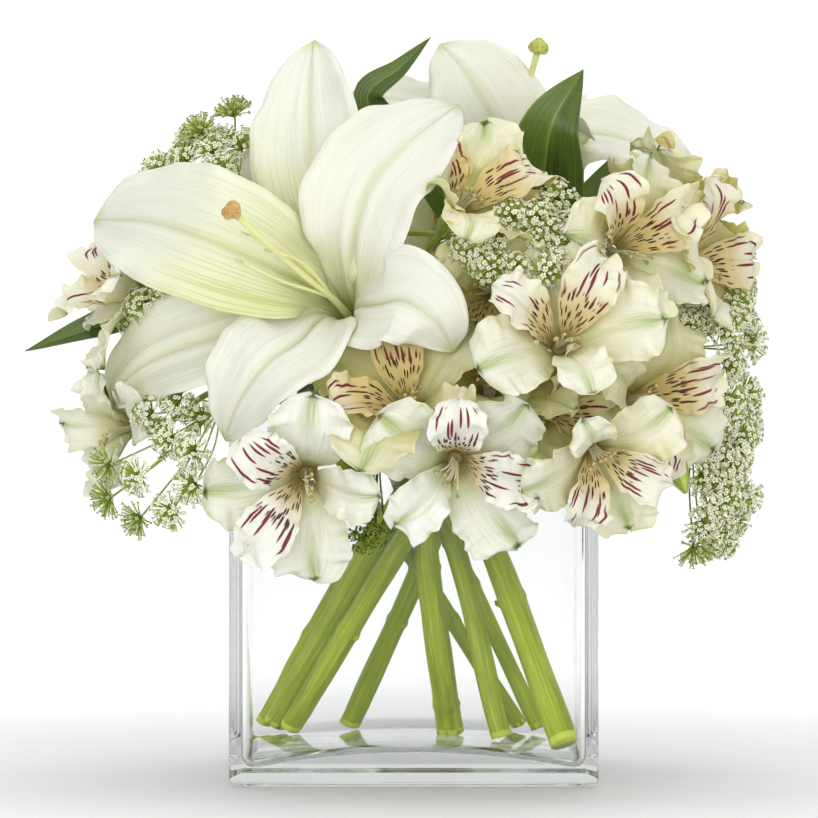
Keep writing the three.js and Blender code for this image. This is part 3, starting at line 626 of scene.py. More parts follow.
def build_vase():
    """Rings up the outside, over the rim and down the inside, with caps at both ends."""
    inner = VASE_HALF - VASE_WALL
    quarter = np.linspace(0, math.pi / 2, ROUND_STEPS + 1)
    shoulder = VASE_HEIGHT - VASE_RIM_ROUND
    rim = [(VASE_RIM_ROUND * (1 - math.cos(angle)), VASE_HEIGHT - VASE_RIM_ROUND * (1 - math.sin(angle)))
           for angle in quarter]
    outside = [((VASE_HALF - VASE_FOOT_ROUND) * max(share, LEAST_SHARE), VASE_CORNER * share, 0)
               for share in FOOT_SHARES]
    outside += [(VASE_HALF - VASE_FOOT_ROUND * (1 - math.sin(angle)), VASE_CORNER,
                 VASE_FOOT_ROUND * (1 - math.cos(angle))) for angle in quarter]
    outside += [(VASE_HALF, VASE_CORNER, z)
                for z in np.linspace(VASE_FOOT_ROUND, shoulder, WALL_RINGS)[1:-1]]
    outside += [(VASE_HALF - inset, VASE_CORNER, z) for inset, z in rim]
    inside = [(inner + inset, VASE_INNER_CORNER, z) for inset, z in rim[::-1]]
    low = VASE_FLOOR + VASE_FLOOR_FILLET
    inside += [(inner, VASE_INNER_CORNER, z) for z in np.linspace(shoulder, low, WALL_RINGS)[1:-1]]
    inside += [(inner - VASE_FLOOR_FILLET * (1 - math.cos(angle)), VASE_INNER_CORNER,
                VASE_FLOOR + VASE_FLOOR_FILLET * (1 - math.sin(angle))) for angle in quarter]
    inside += [((inner - VASE_FLOOR_FILLET) * share, VASE_INNER_CORNER * share, VASE_FLOOR)
               for share in FLOOR_SHARES]
    rings = [square_ring(*outline) for outline in outside + inside]
    for ring in rings[len(outside) :]:
        corner = np.abs(ring[:, 0] * ring[:, 1]) / (inner - VASE_INNER_CORNER) ** 2
        fade = np.clip((VASE_DROP_TOP - ring[:, 2]) / (VASE_DROP_TOP - VASE_FLOOR), 0, 1)
        ring[:, 2] -= VASE_FLOOR_DROP * np.clip(corner, 0, 1) ** 2 * fade
    columns = len(rings[0])
    points = np.vstack(rings)
    first_cap = np.arange(columns)[::-1][None, :]
    last_cap = (np.arange(columns) + (len(rings) - 1) * columns)[None, :]
    bag = Bag()
    faces = [grid_faces(len(rings), columns, around=True), first_cap, last_cap]
    bag.add(points, faces, (0, 0, 0, 0), points)
    bag.piece("vase_glass", [GLASS], "vase")


# ---------- a leaf's blade ----------

LEAF_SHAPE = (
    (0, 1 / 6, 2 / 6, 3 / 6, 4 / 6, 5 / 6, 0.93, 1),
    (0.15, 0.6, 0.95, 1, 0.8, 0.47, 0.22, 0.01),
)
LEAF_FOLD = 0.385  # how steeply the halves rise from the rib
LEAF_PLEAT = 0.14
LEAF_THICKNESS = 0.6
LEAF_LENGTH = 90  # of its pattern


def leaf_blade(bag, spine, half_width, facing, lights, seed, slot=0, rows=80, columns=31):
    """A folded, veined blade, with as much painted light on its left and right halves as the pair after
    facing asks.
    """
    random = np.random.default_rng(int(seed))
    places = np.linspace(0, 1, rows)
    shares = np.linspace(-1, 1, columns)
    grid, inward, half = blade_grid(spine, half_width, LEAF_SHAPE, unit(facing), places, shares, 0.0)
    phase = random.uniform(0, 2 * math.pi, 3)
    v, u = places[:, None], shares[None, :]
    fold = LEAF_FOLD * half[:, None] * (np.abs(u) ** 1.15 - 0.4)
    pleats = LEAF_PLEAT * np.cos(u * columns * 0.84) * np.sin(math.pi * v)
    waves = np.abs(u) ** 3 * np.sin(math.pi * v) * (
        0.9 * np.sin(11 * v + phase[0]) + 0.4 * np.sin(25 * v + phase[1]))
    grid = grid + inward[:, None] * (fold + pleats + waves)[..., None]
    SHEETS.append(grid)
    thickness = LEAF_THICKNESS * (1 - 0.5 * np.abs(u)) * np.ones_like(v)
    tone = looks(rows, columns, v, np.abs(u), np.where(u > 0, lights[1], lights[0]), 0)
    pattern = looks(rows, columns, u * half_width + 29.0 * (seed % 50), v * LEAF_LENGTH, 0)
    shell(bag, grid, thickness, tone, pattern, slot)


# ---------- stems and stalks ----------

WHORL_LEAVES = 5  # where an alstroemeria's stalks part
WHORL_LENGTH = 34.0
WHORL_HALF_WIDTH = 6.0
WHORL_ROWS, WHORL_COLUMNS = 36, 17
GOLDEN_ANGLE = 2.39996

STEM_SIDES, STEM_STEPS = 28, 110
STALK_RADII = (1.9, 1.15, 1.15 * 0.92)
CUT_LENGTH = 2.4  # of the paler cut end
CUT_RADII = (1.02, 1.035)  # against the stem's
JOINT_HEIGHT = 0.55
JOINT_LENGTH = 0.008  # as a share of the stem
BLOOM_OVARY_LENGTH = 20.0
SEAT = 0.4  # between a stalk's end and the ovary

# throat, the way the flower faces, the turn of its striped side in degrees, its size, and how tan it is
BLOOMS = {
    "bloom_top_left": ((17, -80, 201), (0.35, -0.6, 0.5), 60, 1, 0.8),
    "bloom_top_right": ((92, -28, 200), (0.5, 0.35, 0.8), 20, 0.9, 0.95),
    "bloom_right_upper": ((72, -74, 184), (0.6, -0.75, 0.1), 78, 1, 0.5),
    "bloom_right_rear": ((97, -44, 179), (0.85, -0.35, 0.1), 50, 1, 0.6),
    "bloom_middle": ((50, -94, 154), (0.1, -0.85, 0.4), 105, 1, 0.45),
    "bloom_under_lily": ((-2, -90, 133), (-0.1, -0.8, 0.5), 150, 1, 0.75),
    "bloom_middle_left": ((26, -84, 137), (0.1, -0.7, 0.65), 80, 0.85, 0.95),
    "bloom_right": ((77, -69, 133), (0.55, -0.8, 0), -30, 1, 0.6),
    "bloom_lower_middle": ((46, -80, 128), (0.55, -0.8, -0.1), 45, 0.9, 0.55),
    "bloom_lower_right": ((62, -95, 115), (0.3, -0.8, -0.4), -60, 0.85, 0.4),
    "bloom_front": ((14, -92, 111), (0, -0.92, -0.34), 43, 1, 0.05),
    "bloom_front_left": ((-37, -90, 106), (-0.08, -0.92, -0.32), 180, 1, 0.1),
    "bloom_left": ((-99, -44, 170), (-0.85, -0.25, 0.25), 190, 0.9, 0.3),
    "bloom_left_low": ((-102, -40, 122), (-0.8, -0.5, -0.1), 120, 0.8, 0.15),
    "bloom_centre": ((26, -76, 170), (-0.15, -0.95, -0.05), -60, 0.85, 0.8),
    "bloom_back_top": ((-40, 45, 208), (-0.35, 0.55, 0.75), 90, 1, 0.3),
    "bloom_back_middle": ((12, 66, 190), (0, 0.85, 0.5), 20, 1, 0.4),
    "bloom_back_right": ((72, 52, 162), (0.65, 0.7, 0.2), 140, 1, 0.35),
    "bloom_back_left": ((-76, 48, 160), (-0.65, 0.7, 0.25), 60, 1, 0.3),
    "bloom_back_low": ((-12, 80, 138), (-0.05, 0.95, 0), 200, 1, 0.3),
}


def bloom_seat(name):
    """Where a bloom's stalk ends, and the way the bloom faces."""
    throat, axis = np.array(BLOOMS[name][0], float), unit(BLOOMS[name][1])
    return throat - axis * (BLOOM_OVARY_LENGTH + SEAT), axis


def stalk_to(name, *over):
    """A stalk's way to its bloom, over the points given or else from behind the bloom."""
    seat, axis = bloom_seat(name)
    return [*over, seat] if over else [seat - 9 * axis, seat]


# the middle line, the radii along it, the stalks that leave its head, and how far up it has joints
STEMS = {
    "stem_lily_front": (
        [(52, -53, 14.5), (20.5, -14, 96), (0, -24, 132), (-14.8, -35.5, 150.7)], (5, 4.8, 4.2, 2.4), [],
        (0.35,)),
    "stem_lily_rear": (
        [(-50, 41, 14), (-5, -3, 95), (22, 6, 140), (38, 10, 177.6)], (4.7, 4.6, 4.2, 2.4), [],
        (0.22, 0.41)),
    "stem_bloom_middle": (
        [(13, 10, 12.5), (4, -15, 90), (8, -26, 122)], (4.7, 4.4, 3),
        [stalk_to("bloom_under_lily", (4, -50, 131), (1, -65, 131.5)),
         stalk_to("bloom_middle_left", (18, -48, 131), (23, -60, 132)),
         stalk_to("bloom_front", (11, -50, 130), (13, -66, 132)),
         stalk_to("bloom_centre"),
         [(-4, -50, 131), (-10, -62, 132), (-11, -68, 122)]],
        (0.1, 0.55)),
    "stem_bloom_right": (
        [(-44, 19, 14), (0, -18, 88), (34, -20, 138)], (4, 3.9, 3),
        [stalk_to("bloom_right_upper"),
         stalk_to("bloom_middle"),
         stalk_to("bloom_right", (56, -46, 134)),
         stalk_to("bloom_lower_middle", (36, -40, 134)),
         stalk_to("bloom_lower_right", (46, -52, 133), (52, -62, 133)),
         stalk_to("bloom_right_rear"),
         [(60, -48, 137), (78, -62, 132), (85, -66, 117.4)]],
        (0.3,)),
    "stem_bloom_left": (
        [(31, -16, 13), (8, -7, 96), (-24, -14, 134)], (3.8, 3.6, 2.6),
        [stalk_to("bloom_front_left", (-32, -44, 134), (-34, -62, 133)),
         stalk_to("bloom_left"),
         stalk_to("bloom_left_low", (-56, -26, 138), (-72, -30, 134)),
         stalk_to("bloom_back_left")],
        (0.52,)),
    "stem_bloom_rear": (
        [(-23, 37, 13.5), (12, 6, 96), (26, 22, 150)], (3.8, 3.6, 2.6),
        [stalk_to("bloom_top_left"), stalk_to("bloom_top_right"), stalk_to("bloom_back_middle"),
         stalk_to("bloom_back_right"), stalk_to("bloom_back_low"), stalk_to("bloom_back_top")],
        (0.3, 0.44)),
    "stem_lace_right": (
        [(-55, 50, 13.5), (-9, 12, 92), (24, -6, 122), (62, -6, 138), (90, -24, 150)],
        (3, 2.8, 2.2, 1.6, 1.4), [[(93, -27, 138), (95.5, -30, 125.8)]], (0.18,)),
    "stem_lace_left": (
        [(38, 41, 13.5), (-15, 2, 96), (-46, -28, 132), (-64, -56, 130.5)], (3, 2.8, 2, 1.4), [], (0.25,)),
    "stem_lace_top": (
        [(45, 22, 13.5), (6, 22, 96), (-20, 16, 150), (-40, 6, 182)], (3, 2.8, 2, 1.4),
        [[(-50, 0, 196), (-60, -8, 205)],
         [(-42, 22, 178), (-44, 40, 176)],
         [(-58, -14, 172), (-77, -40, 163)],
         [(-10, -30, 190), (20, -50, 188), (42, -56, 182)]],
        (0.3, 0.6)),
}


def build_stem(name, number):
    """The stem with its cut end and joints, its stalks, and small leaves where three or more part."""
    line, radii, stalks, joints = STEMS[name]
    bag = Bag()
    seed = 37.0 * (number + 1)

    def swelling(places):
        """Low rings where leaves came off."""
        rings = sum(JOINT_HEIGHT * np.exp(-(((places - joint) / JOINT_LENGTH) ** 2)) for joint in joints)
        return rings + 0.12 * np.sin(places * 21 + number)

    tube(bag, line, radii, STEM_SIDES, STEM_STEPS, seed=seed, ribs=7, rib_depth=0.022, bumps=swelling)
    full = smooth_line(line, np.array([0.0, 0.004, 0.03]))
    onward = unit(full[2] - full[0])
    foot = [full[0] - onward * 0.05, full[0] + onward * CUT_LENGTH]
    tube(bag, foot, [radii[0] * wider for wider in CUT_RADII], STEM_SIDES, 4, mark=0.75, seed=seed)
    for joint in joints:
        place = smooth_line(line, np.array([joint, joint + 0.012]))
        radius = float(np.interp(joint, np.linspace(0, 1, len(radii)), radii))
        way = unit(np.cross(place[1] - place[0], [0.2 + 0.3 * number, 1, 0.1])) * (-1) ** number
        scar = [place[0] + way * radius * 0.85, place[0] + way * (radius + 0.5),
                place[1] + way * (radius + 1.1)]
        tube(bag, scar, (1.0, 0.9, 0.3), 8, 6, mark=0.2, seed=seed)
    for index, route in enumerate(stalks):
        tube(bag, [line[-1], *route], STALK_RADII, 12, 40, seed=seed + 5 * index, slot=1)
    if len(stalks) > 2:
        head, up = np.array(line[-1], float), unit(np.array(line[-1], float) - line[-2])
        for index in range(WHORL_LEAVES):
            angle = index * GOLDEN_ANGLE + number
            flat = np.array([math.cos(angle), -abs(math.sin(angle)), 0.0])
            onward = unit(flat + up * (0.35 + 0.5 * math.sin(index * 1.7 + number)))
            length = WHORL_LENGTH * (0.8 + 0.2 * math.sin(index * 2.3))
            spine = [head - up * 3, head + onward * length * 0.5 + up * 3, head + onward * length]
            # the right half of each small leaf gets a little painted light
            leaf_blade(bag, spine, WHORL_HALF_WIDTH, up - onward * 0.2, (0.0, 0.15), seed + index, slot=2,
                       rows=WHORL_ROWS, columns=WHORL_COLUMNS)
    bag.piece(f"{name}_green", [STEM, STALK, LEAF], name)


# ---------- lilies ----------

LILY_SHAPE = ((0, 1 / 6, 2 / 6, 3 / 6, 4 / 6, 5 / 6, 0.94, 1), (0.1, 0.36, 0.78, 1, 0.97, 0.7, 0.36, 0.02))
LILY_THICKNESS = 0.8
LILY_CUP = 0.3
LILY_GROOVE = 2.0  # how deep the middle line lies
LILY_ROWS, LILY_COLUMNS = 90, 41
LILY_SPREAD = 0.96
PLAIN_SHADE_AND_GREEN_WASH = (0.3, 0.5)  # of a tepal that isn't listed
TEPAL_START = 0.3  # where tepals leave the way from base to throat
TEPAL_ASIDE = 2.4

# base, throat, the style and bare filaments past the throat, how far the yellow-green wash of each tepal
# reaches over its side as painted shade and up from its root as its real green, and each tepal's half width,
# facing and middle line
LILIES = {
    "lily_front": {
        "base": (-15, -36, 151),
        "throat": (-27, -66, 167),
        "style": [(-39, -82, 177), (-51, -95, 188), (-61, -104, 197)],
        "filaments": [
            [(-44, -84, 184), (-58, -92, 190)],
            [(-46, -80, 174), (-60, -86, 181)],
            [(-38, -88, 180), (-50, -100, 184)],
        ],
        "stigma": FRONT_STIGMA,
        "green_and_shade_wash": {"left": (0.5, 0.72), "upper": (0.75, 0.6), "left_lower": (0.25, 0.55),
                 "right_lower": (0.0, 0.33), "lower": (0.0, 0.4), "right_upper": (0.1, 0.4)},
        "tepals": {
            "right_upper": (
                21, (-0.35, -0.9, 0.1),
                [(-21, -70, 173), (-21, -84, 190), (-16, -86, 206), (-3, -74, 221), (16, -54, 235)]),
            "lower": (
                20, (-0.3, -0.8, 0.45),
                [(-31, -70, 162), (-40, -86, 155), (-51, -92, 147), (-60, -88, 134), (-65, -79, 119)]),
            "left": (
                23.5, (-0.35, -0.85, 0.35),
                [(-34, -66, 171), (-50, -80, 180), (-71, -80.5, 189), (-92, -62, 195), (-112, -36, 195)]),
            "upper": (
                20.5, (-0.35, -0.85, 0.35),
                [(-28, -64, 173), (-31, -72, 189), (-36, -64, 215), (-37, -48, 238), (-35, -32, 258)]),
            "right_lower": (
                18, (-0.35, -0.85, 0.35),
                [(-20, -70, 165), (-13, -88, 167), (-4, -97, 168), (5, -100, 162), (14, -92, 149)]),
            "left_lower": (
                19, (-0.35, -0.85, 0.35),
                [(-33, -64, 163), (-51, -73, 160), (-71, -70, 155), (-92, -56, 147), (-109, -38, 131)]),
        },
    },
    "lily_rear": {
        "base": (38, 10, 178),
        "throat": (40, 10, 214),
        "style": [(40, 6, 238), (44, -6, 256)],
        "filaments": [[(38, 4, 226), (36, 2, 231)], [(44, 12, 226), (46, 14, 231)]],
        "stigma": REAR_STIGMA,
        "green_and_shade_wash": {},
        "tepals": {
            "upper_left": (
                20, (0.1, -0.95, 0.2), [(37, 5, 206), (28, -2, 232), (18, -2, 248), (9, 5, 258)]),
            "right": (17, (-0.2, -0.7, 0.7), [(44, 9, 205), (60, 2, 226), (80, 8, 224), (101, 18, 218)]),
            "rear": (17, (0, -0.6, 0.8), [(41, 14, 205), (44, 34, 232), (48, 56, 240), (52, 76, 228)]),
            "left": (17, (0.3, -0.6, 0.75), [(36, 8, 205), (22, 6, 228), (-2, 8, 238), (-26, 16, 240)]),
            "rear_left": (
                17, (0.5, -0.4, 0.75), [(37, 13, 206), (22, 30, 232), (4, 48, 240), (-12, 62, 232)]),
            "front": (14, (-0.1, 0.5, 0.85), [(42, 5, 206), (48, -8, 222), (56, -18, 228), (64, -24, 224)]),
        },
    },
}


def build_lily_tepal(name, lily, tepal, seed):
    """A tepal with its groove, ridges and curled rim."""
    half_width, facing, rest = lily["tepals"][tepal]
    side_painted_shade, root_wash = lily["green_and_shade_wash"].get(tepal, PLAIN_SHADE_AND_GREEN_WASH)
    base, throat = np.array(lily["base"], float), np.array(lily["throat"], float)
    start = base + (throat - base) * TEPAL_START + unit(np.array(rest[1]) - throat) * TEPAL_ASIDE
    places = np.linspace(0, 1, LILY_ROWS) ** 0.95
    places = 1 - (1 - places) ** 1.15
    shares = spread_shares(LILY_COLUMNS, LILY_SPREAD)
    grid, inward, _ = blade_grid(
        [start, *rest], half_width, LILY_SHAPE, unit(facing), places, shares, LILY_CUP)
    random = np.random.default_rng(seed)
    phase = random.uniform(0, 2 * math.pi, 6)
    v, u = places[:, None], shares[None, :]
    body = np.sin(math.pi * np.clip(v, 0, 1)) ** 0.5
    groove = -LILY_GROOVE * np.exp(-((u / 0.06) ** 2)) * body * (1 - 0.5 * v)
    ridges = 1.1 * np.exp(-(((np.abs(u) - 0.17) / 0.09) ** 2)) * body
    folds = 0.5 * np.sin(u * 9 + phase[0]) * np.sin(v * 4 + phase[1]) * body
    swell = 0.9 * np.sin(v * 7.5 + phase[2] + u * 1.2) * u * body
    waves = np.abs(u) ** 4 * body * (
        1.5 * np.sin(v * 23 + phase[3] + 2.2 * u) + 0.8 * np.sin(v * 47 + phase[4] - 1.7 * u))
    curl = -2.4 * np.clip((np.abs(u) - 0.8) / 0.2, 0, 1) ** 2 * body
    tip = -1.6 * np.clip((v - 0.9) / 0.1, 0, 1) ** 2
    grid = grid + inward[:, None] * (groove + ridges + folds + swell + waves + curl + tip)[..., None]
    SHEETS.append(grid)
    thickness = LILY_THICKNESS * (1 - 0.6 * np.abs(u) ** 3) * (1 - 0.45 * v)
    root = np.clip(1 - v / root_wash, 0, 1) ** 0.8
    # painted shade: a yellow-green wash along the lower side of the tepal, as strong as its side value; the
    # root wash is the tepal's real green
    low_side_painted_shade = side_painted_shade * np.clip(0.35 - u * 0.75, 0, 1) * np.sin(math.pi * np.clip(v * 1.15, 0, 1)) ** 0.7
    low_side_painted_shade = low_side_painted_shade * np.clip(1.3 - 1.35 * v, 0, 1)
    tone = looks(LILY_ROWS, LILY_COLUMNS, v, np.abs(u), np.clip(root + low_side_painted_shade, 0, 1), 0)
    pattern = looks(LILY_ROWS, LILY_COLUMNS, u * half_width + 61.7 * seed, v * 95 + 13.1 * seed, 0)
    bag = Bag()
    shell(bag, grid, thickness, tone, pattern)
    bag.piece(f"{name}_{tepal}_petal", [LILY], f"{name}_{tepal}")


def build_lily_heart(name, lily):
    """The receptacle and ovary, the style with its stigma of three lobes, and the filaments."""
    bag = Bag()
    base, throat = np.array(lily["base"], float), np.array(lily["throat"], float)
    places = [base + (throat - base) * share for share in (0, 0.12, 0.4)]
    tube(bag, places, (2.4, 3.5, 3.2, 2.0), 24, 16, seed=3.0, ribs=6, rib_depth=0.06)
    route = [places[1], throat, *lily["style"]]
    tube(bag, route, (1.8, 1.35, 1.15, 1.1, 1.25), 14, 60, seed=9.0, slot=1)
    end, before = np.array(route[-1], float), np.array(route[-2], float)
    way = unit(end - before)
    side = unit(np.cross(way, [0.1, 0.2, 1]))
    other = np.cross(way, side)
    for lobe in range(3):
        angle = lobe * 2 * math.pi / 3 + 0.5
        out = side * math.cos(angle) + other * math.sin(angle)
        line = [end - way * 1.5, end + way * 0.7 + out * 1.9, end + way * 1.7 + out * 2.9]
        tube(bag, line, (1.5, 2.5, 2.4, 0.9), 16, 14, seed=20.0 + lobe, slot=2, ribs=2, rib_depth=0.12)
    for index, filament in enumerate(lily["filaments"]):
        tube(bag, [places[1], throat, *filament], (1.1, 0.85, 0.6, 0.4), 10, 44, seed=30.0 + index, slot=1)
    bag.piece(f"{name}_heart_green", [STALK, STYLE, lily["stigma"]], f"{name}_heart")


# ---------- alstroemeria flowers ----------

# angle from the striped side, reach, lift, half width, share of stripes
BLOOM_PETALS = (
    (0, 34, 5, 13.5, 0.0),
    (98, 34, 5, 13.5, 0.0),
    (-98, 35, 5, 13.5, 0.0),
    (48, 29, 12, 9.6, 1.0),
    (-48, 28, 12, 9.6, 1.0),
    (180, 26, 12, 9.5, 0.1),
)
# these are made first, so that the petals of the others give way to theirs
FRONTMOST = ("bloom_front", "bloom_front_left", "bloom_lower_right", "bloom_middle", "bloom_right_upper")
STRIPE_SHARES = {"bloom_left_low": 0.1, "bloom_top_right": 0.35}  # how much of their stripes these show
# petals that bend forward: the flower, which petal, the share of its reach it keeps and its lift
BENT_PETALS = {("bloom_left", 3): (0.6, 19), ("bloom_top_left", 1): (0.55, 7),
               ("bloom_top_left", 3): (0.72, 6)}
SHAPE_PLACES = (0, 0.12, 0.25, 0.4, 0.55, 0.7, 0.82, 0.91, 0.965, 1)
OUTER_SHAPE = (
    SHAPE_PLACES,
    (0.16, 0.36, 0.68, 0.9, 1.01, 1.05, 0.97, 0.75, 0.47, 0.05),
)
INNER_SHAPE = (
    SHAPE_PLACES,
    (0.16, 0.3, 0.52, 0.77, 0.96, 1.05, 0.98, 0.76, 0.48, 0.04),
)
BLOOM_ROWS, BLOOM_COLUMNS = 46, 25
BLOOM_SPREAD = 0.94
BLOOM_THICKNESS = 0.5
FRILL = 2.3
STAMENS = 6


def bloom_petal(bag, throat, axis, outward, size, warmth, petal, random, seed, trees):
    """One petal, laid against the sheets of each tree in turn. Returns its middle sheet."""
    reach, lift, half_width, stripes = petal
    reach = reach * random.uniform(0.97, 1.04)
    lift = lift + random.uniform(-2.0, 2.0)
    outer = stripes == 0.0

    def at(out, rise):
        return throat + outward * out * size + axis * rise * size

    recurve = random.uniform(-2.5, 1.0) if outer else random.uniform(-3.0, -0.5)
    spine = [at(2.6, -7), at(reach * 0.38, lift * 0.55), at(reach * 0.75, lift + 1),
             at(reach, lift + recurve)]
    facing = unit(axis * 0.8 - outward * 0.6)
    places = 1 - (1 - np.linspace(0, 1, BLOOM_ROWS)) ** 1.25
    shares = spread_shares(BLOOM_COLUMNS, BLOOM_SPREAD)
    shape = OUTER_SHAPE if outer else INNER_SHAPE
    cup = (0.2 if outer else 0.26) + random.uniform(-0.1, 0.16)
    grid, inward, _ = blade_grid(
        spine, half_width * size, shape, facing, places, shares, cup, twist=random.uniform(-0.4, 0.4))
    phase = random.uniform(0, 2 * math.pi, 6)
    v, u = places[:, None], shares[None, :]
    body = np.clip(v * 1.6 - 0.35, 0, 1)
    crease = -0.9 * np.exp(-((u / 0.08) ** 2)) * np.clip(v * 2, 0, 1)
    pleats = 0.16 * np.cos(u * 31 + phase[1]) * body
    swell = 0.9 * np.sin(3.1 * u + phase[0]) * np.sin(5 * v + phase[1]) * body + pleats
    waves = np.abs(u) ** 2.5 * body * FRILL * (
        np.sin(17 * v + phase[2] + 2.5 * u) + 0.6 * np.sin(34 * v + phase[3] - 2 * u)
        + 0.35 * np.sin(61 * v + phase[4]))
    end = np.clip((v - 0.86) / 0.14, 0, 1)
    rim = end * (1 - np.abs(u)) * 0.8 * np.sin(9 * u + phase[5])
    grid = grid + inward[:, None] * ((crease + swell + waves + rim) * size)[..., None]
    across = unit(grid[:, -1] - grid[:, 0])
    crinkle = np.sign(u) * np.abs(u) ** 5 * body * (
        0.5 * np.sin(29 * v + phase[5] + u) + 0.35 * np.sin(53 * v + phase[0] - u))
    grid = pressed(grid + across[:, None] * (crinkle * size)[..., None], throat, trees[0])
    if len(trees) > 1:
        grid = pressed(grid, throat, trees[1], NEAREST_SHARE)
    thickness = BLOOM_THICKNESS * (1 - 0.5 * np.abs(u) ** 2) * (1 - 0.4 * v)
    tint = np.clip(warmth + random.uniform(-0.12, 0.12), 0, 1)
    tone = looks(BLOOM_ROWS, BLOOM_COLUMNS, v, np.abs(u), stripes, tint)
    pattern = looks(
        BLOOM_ROWS, BLOOM_COLUMNS, u * half_width + 41.3 * seed, v * reach * 1.15 + 17.9 * seed, 0)
    shell(bag, grid, thickness, tone, pattern)
    return grid


def build_bloom(name, number, tree):
    """Six petals on a ribbed ovary, with the throat's plug and the stamens."""
    throat, axis, turn, size, warmth = BLOOMS[name]
    throat, axis = np.array(throat, float), unit(axis)
    up = unit(np.array([0, 0, 1.0]) - axis * axis[2])
    right = np.cross(up, axis)
    random = np.random.default_rng(500 + number)
    bag = Bag()
    trees = [tree, sheet_tree(PETAL_SHEETS)] if PETAL_SHEETS else [tree]
    grids = []
    for index, (degrees, reach, lift, half_width, stripes) in enumerate(BLOOM_PETALS):
        way = math.radians(degrees + turn + random.uniform(-5, 5))
        outward = right * math.cos(way) + up * math.sin(way)
        if (name, index) in BENT_PETALS:
            share, lift = BENT_PETALS[name, index]
            reach *= share
        petal = (reach, lift, half_width, stripes * STRIPE_SHARES.get(name, 1.0))
        seed = number * 7 + index + 1
        grids.append(bloom_petal(bag, throat, axis, outward, size, warmth, petal, random, seed, trees))
    PETAL_SHEETS.extend(grids)
    base, top = throat - axis * BLOOM_OVARY_LENGTH, throat - axis * 8 * size
    middle = (base + top) / 2
    tube(bag, [base, middle, top], (1.4, 2.6, 3.2, 3.2, 3.0), 30, 24, seed=2.0 * number, slot=1, ribs=6,
         rib_depth=0.09)
    tube(bag, [top - axis, top + axis * size], (2.6, 2.5, 1.6), 24, 6, seed=5.0, slot=3)
    striped = right * math.cos(math.radians(turn)) + up * math.sin(math.radians(turn))
    across = np.cross(axis, striped)
    for index in range(STAMENS):
        spread = (2 * index - STAMENS + 1) / (STAMENS - 1)
        length = random.uniform(13, 18) * size
        start = throat - axis * 6.5 * size + across * spread * 1.2
        lean = -striped * random.uniform(1.0, 3.5) + across * spread * random.uniform(1.8, 3.8)
        middle = start + axis * length * 0.55 + lean * 0.4
        end = start + axis * length * 0.92 + lean * 1.25
        tube(bag, [start, middle, end], (0.45, 0.34, 0.25), 8, 18, seed=50.0 + index, slot=2)
        tip = unit(end - middle)
        twist = unit(np.cross(tip, striped + across * spread * 0.5))
        head = [end - twist * 0.9, end + tip * 0.3, end + twist * 0.9]
        tube(bag, head, (0.3, 0.6, 0.65, 0.6, 0.25), 10, 12, seed=70.0, slot=3)
    bag.piece(f"{name}_flower", [BLOOM, STALK, STAMEN, ANTHER], name)


# ---------- lace flowers ----------

# hub, facing, tuft radius, the middles of the tufts, and how green and closed they are
LACE = {
    "lace_top_left": (
        (-60.3, -8.2, 205.5), (-0.4, -0.2, 0.9), 6.5,
        [(-76, -30, 229), (-64, -20, 236), (-82, -28, 219), (-72, -32, 222), (-92, -18, 215),
         (-61, -28, 224), (-86, -6, 213), (-70, 0, 226), (-79, -22, 226), (-68, -38, 214)], 0.06),
    "lace_right": (
        (90.4, -24.3, 150.2), (0.8, -0.5, 0.2), 7,
        [(116, -20, 184), (99, -50, 169), (110, -46, 158), (96, -56, 160), (116, -28, 167), (112, -46, 145),
         (121, -22, 153), (118, -8, 172)], 0.05),
    "lace_right_low": (
        (95.7, -30.2, 125.4), (0.6, -0.7, -0.4), 6.5,
        [(111, -55, 132), (119, -30, 134), (116, -45, 119), (112, -50, 107), (117, -38, 96), (109, -55, 96),
         (100, -60, 88), (98, -58, 79), (108, -45, 81), (120, -20, 120), (104, -50, 116),
         (101, -56, 104)], 0.05),
    "lace_left": (
        (-64.3, -56.5, 130.2), (-0.6, -0.7, 0.1), 6.5,
        [(-108, -66, 110), (-108, -62, 98), (-97, -74, 106), (-97, -70, 91), (-85, -78, 94),
         (-77, -84, 103), (-94, -62, 128), (-86, -74, 119), (-77, -84, 115), (-84, -66, 134),
         (-76, -64, 127)], 0.05),
    "lace_left_upper": (
        (-77.3, -40.4, 163.2), (-0.7, -0.6, 0.2), 5.5,
        [(-97, -56, 166), (-88, -58, 173), (-100, -44, 160), (-94, -36, 176)], 0.1),
    "lace_middle": (
        (42.4, -56.4, 182.3), (0.1, -0.9, 0.3), 6,
        [(17, -88, 186), (25, -92, 179), (33, -84, 197), (42, -84, 197), (50, -74, 204), (54, -88, 187),
         (60, -88, 180), (45, -94, 177), (62, -80, 190)], 0.05),
    "lace_back": (
        (-44.3, 40.5, 176.2), (-0.5, 0.7, 0.4), 6.5,
        [(-60, 62, 196), (-74, 44, 192), (-50, 70, 180), (-66, 62, 176), (-80, 32, 188),
         (-40, 62, 196)], 0.05),
    "lace_sprig": (
        (-11.2, -68.6, 121.6), (0, -0.2, -1), 3.6,
        [(-20, -78, 86), (-13, -80, 84), (-16, -74, 92), (-15, -82, 88), (-10, -80, 89),
         (-17, -81, 82)], 0.9),
}
